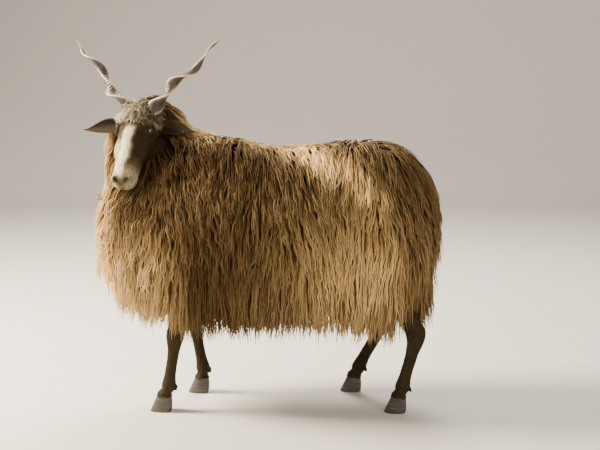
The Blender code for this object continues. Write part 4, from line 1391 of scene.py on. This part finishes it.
def horn_piece(name, side, material, count=36, steps=220):
    """A flat blade wound round its own line, with growth rings and a groove down each face."""
    up = -FACE_DOWN
    lean = up * math.cos(HORN_SPREAD) + HEAD_LEFT * side * math.sin(HORN_SPREAD)
    line = (lean - FACE_OUT * math.sin(HORN_BACK)).normalized()
    first = line.cross(FACE_OUT).normalized()
    second = line.cross(first)
    root = on_side(HORN_ROOT, side)
    rings, along, edges = [], [], []
    for i in range(steps):
        t = i / (steps - 1)
        turn = side * 2 * math.pi * HORN_TURNS * t
        size = (1 - t) ** 0.8 * 0.96 + 0.04
        groove = 0.0007 * size * math.sin(2 * math.pi * (34 * t + 0.6 * math.sin(9 * t)))
        wide = HORN_WIDTH / 2 * size + groove
        thick = HORN_THICKNESS / 2 * size + groove
        centre = root + line * HORN_LENGTH * t
        flat = first * math.cos(turn) + second * math.sin(turn)
        centre += flat * HORN_SWAY * math.sin(math.pi * t)
        edge = line.cross(flat)
        ring = []
        for k in range(count):
            angle = 2 * math.pi * k / count
            c, s = rounded(angle, 1.6)
            hollow = 1 - 0.16 * abs(math.sin(angle)) ** 3
            ring.append(centre + flat * wide * c + edge * thick * s * hollow)
            along.append(t)
            # nearness to a keel, which the horn's material paints pale as a highlight
            edges.append(abs(math.cos(angle)) ** 2.5)
        rings.append(ring)
    horn = loft(name, rings)
    # the last two points are the middles of the root's and the tip's cap
    add_values(horn.data, "along", along + [0, 1])
    add_values(horn.data, "edge", edges + [0.5, 0.5])
    cover_with(horn.data, material)
    return horn


def eye_piece(name, side, material):
    """The eyeball, with a lengthwise pupil as a sheep's."""
    outward, along, across = eye_axes(side)
    turn = Matrix((along, across, outward)).transposed().to_4x4()
    eye = ball(name, eye_centre(side), EYE_RADIUS, turn, segments=64, rings=40)
    centre = np.array(eye_centre(side))
    spots = (np.array([v.co for v in eye.data.vertices]) - centre) / EYE_RADIUS
    a, b, o = spots @ np.array(along), spots @ np.array(across), spots @ np.array(outward)
    far = np.where(o > 0, np.sqrt(a**2 + b**2), 1.0)
    add_values(eye.data, "from_middle", far)
    slit = np.clip(1.6 - 1.3 * np.sqrt((a / 0.30) ** 4 + (b / 0.14) ** 4), 0, 1)
    add_values(eye.data, "slit", np.where(o > 0, slit, 0))
    cover_with(eye.data, material)
    return eye


def claw_piece(name, coronet_x, y, side, material, count=40, steps=34):
    """One claw of a cloven hoof with growth lines and a worn lower rim."""
    rings = []
    for i in range(steps):
        t = i / (steps - 1)
        z = (HOOF_HEIGHT - GAP) * (1 - t)
        worn = 0.0016 * max(0, (t - 0.93) / 0.07) ** 2
        line = 0.0003 * math.sin(t * 52) * (1 - t * 0.3)
        toe = coronet_x - 0.0190 - 0.0190 * t + worn + line
        heel = coronet_x + 0.0180 + 0.0020 * math.sin(math.pi * t) - worn
        inner, wide = y + side * CLEFT / 2, 0.0185 + 0.0045 * t - worn + line
        ring = []
        for k in range(count):
            angle = math.pi * k / (count - 1)
            c, s = math.cos(angle), math.sin(angle)
            along = (toe + heel) / 2 + (heel - toe) / 2 * c
            taper = 1 - 0.30 * (1 - c) / 2
            ring.append(Vector((along, inner + side * wide * taper * s**0.75, z)))
        rings.append(ring)
    claw = loft(name, rings)
    cover_with(claw.data, material, 40)
    return claw


def mark_skin(skin):
    """Where the skin is covered by wool, how pale its hair is, painted sunlight on the face's right side
    included, and how bleached its underwool is, painted light and shadow included.
    """
    places = np.array([v.co for v in skin.data.vertices])
    down, side, out = all_in_head(places)
    on_head = (down > -0.05) & (down < 0.27) & (np.abs(side) < 0.19) & (out > -0.115) & (out < 0.06)
    woolly = np.where(on_head, climb(out, -0.085, -0.02), climb(places[:, 2], 0.285, 0.03))
    add_values(skin.data, "woolly", woolly)
    # pale muzzle, bridge and brows, with painted sunlight over the face's right side
    add_values(skin.data, "muzzle", grey_and_sunlit(places))
    add_values(skin.data, "pale_and_sunlit", bleach_and_painted_light(places))


def set_up_scene(shift):
    """Floor, lights and the camera at the photo's height and distance."""
    # a sheet of paper that runs out flat behind the sheep and bends up
    corners, last = [], 59
    for i in range(last + 1):
        t = i / last
        bend = max(0, (t - 0.55) / 0.45)
        y = -9 + 13 * min(1, t / 0.55) + 2.2 * math.sin(bend * math.pi / 2)
        z = 5.5 * (1 - math.cos(bend * math.pi / 2))
        corners += [(x, y, z) for x in (-9.0, 9.0)]
    mesh = bpy.data.meshes.new("floor")
    mesh.from_pydata(corners, [], [(i, i + 1, i + 3, i + 2) for i in range(0, 2 * last, 2)])
    cover_with(mesh, plain_material("studio_paper", (0.62, 0.59, 0.55), 0.9))
    add_object("floor", mesh)

    world = bpy.data.worlds.new("studio")
    world.use_nodes = True
    back = world.node_tree.nodes["Background"]
    back.inputs["Color"].default_value = (1.0, 0.97, 0.93, 1)
    back.inputs["Strength"].default_value = 0.50
    bpy.context.scene.world = world
    for name, place, size, power, colour in (
        ("key", (-2.4, 0.2, 2.0), 1.0, 470, (1.0, 0.88, 0.70)),
        ("fill", (1.6, -3.2, 1.9), 2.2, 90, (1.0, 0.91, 0.78)),
        ("rim", (0.4, 2.2, 2.8), 1.2, 150, (1.0, 0.92, 0.80)),
    ):
        light = bpy.data.lights.new(name, "AREA")
        light.energy = power
        light.size = size
        light.color = colour
        lamp = bpy.data.objects.new(name, light)
        lamp.location = place
        aim = Vector((0, 0, 0.45)) - lamp.location
        lamp.rotation_euler = aim.to_track_quat("-Z", "Y").to_euler()
        bpy.context.scene.collection.objects.link(lamp)

    camera = bpy.data.cameras.new("camera")
    width, height = PICTURE
    camera.sensor_width = 36
    camera.lens = camera.sensor_width * FOCAL / width
    eye = bpy.data.objects.new("camera", camera)
    eye.location = CAMERA_PLACE + shift
    eye.rotation_euler = (math.pi / 2 - math.atan((height / 2 - HORIZON) / FOCAL), 0, 0)
    bpy.context.scene.collection.objects.link(eye)
    bpy.context.scene.camera = eye


def main():
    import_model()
    low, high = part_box("eye_left")
    shift = (low + high) / 2 - eye_centre(1)

    wool, hair = wool_material(), skin_material()
    horn, hoof, eye = horn_material(), hoof_material(), eye_material()

    skin = make_skin()
    bare = bare_places()
    tips = space_of(envelope("outside", 1.0))
    inner = envelope("core", SKIN_SHARE)

    def bears_wool(place, normal):
        return place[2] > LEG_TOP and normal[2] > -0.75 and not covers_face(bare, Vector(place))

    roots = scatter(inner, bears_wool, LOCKS, LOCK_SPACING, crowding)
    paths = fleece_paths(space_of(inner), tips, bare, roots)
    pieces = [(coat, "wool", []) for coat in grow_fleece(paths, wool)]

    surface = surface_of(skin)
    pieces.append((brow_tuft(skin, surface, tuft_material()), "wool", []))
    hairs = hair_material()
    pieces.append((short_hair("coat_head", skin, surface, True, HEAD_HAIRS, unwrap_head, hairs), "hide", []))
    pieces.append((short_hair("coat_legs", skin, surface, False, LEG_HAIRS, unwrap_legs, hairs), "hide", []))

    mark_skin(skin)
    cover_with(skin.data, hair, 50)
    flesh = ["torso", "neck", "tail", "head", "ear_left", "ear_right", *LEGS]
    pieces.append((skin, "hide", flesh))
    for side, word in ((1, "left"), (-1, "right")):
        pieces.append((horn_piece(f"horn_{word}_detail", side, horn), "horn", [f"horn_{word}"]))
        pieces.append((eye_piece(f"eye_{word}_detail", side, eye), "eye", [f"eye_{word}"]))
    for name, measures in LEGS.items():
        foot_x, y = leg_rows(*measures)[-1][:2]
        for side, place in ((-1, "near"), (1, "off")):
            node_name = f"{name}_claw_{place}"
            claw = claw_piece(node_name + "_detail", foot_x, y, side, hoof)
            pieces.append((claw, "hoof", [node_name]))
    for obj, slot, nodes in pieces:
        obj.data.transform(Matrix.Translation(shift))
        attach(obj, "root")
        if nodes:
            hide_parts(*nodes)
    set_up_scene(shift)


def bare_places():
    """The head and ears, which no wool covers."""
    return [space_of(loft("room", rings)) for rings in (head_rings(), ear_rings(-1), ear_rings(1))]


main()
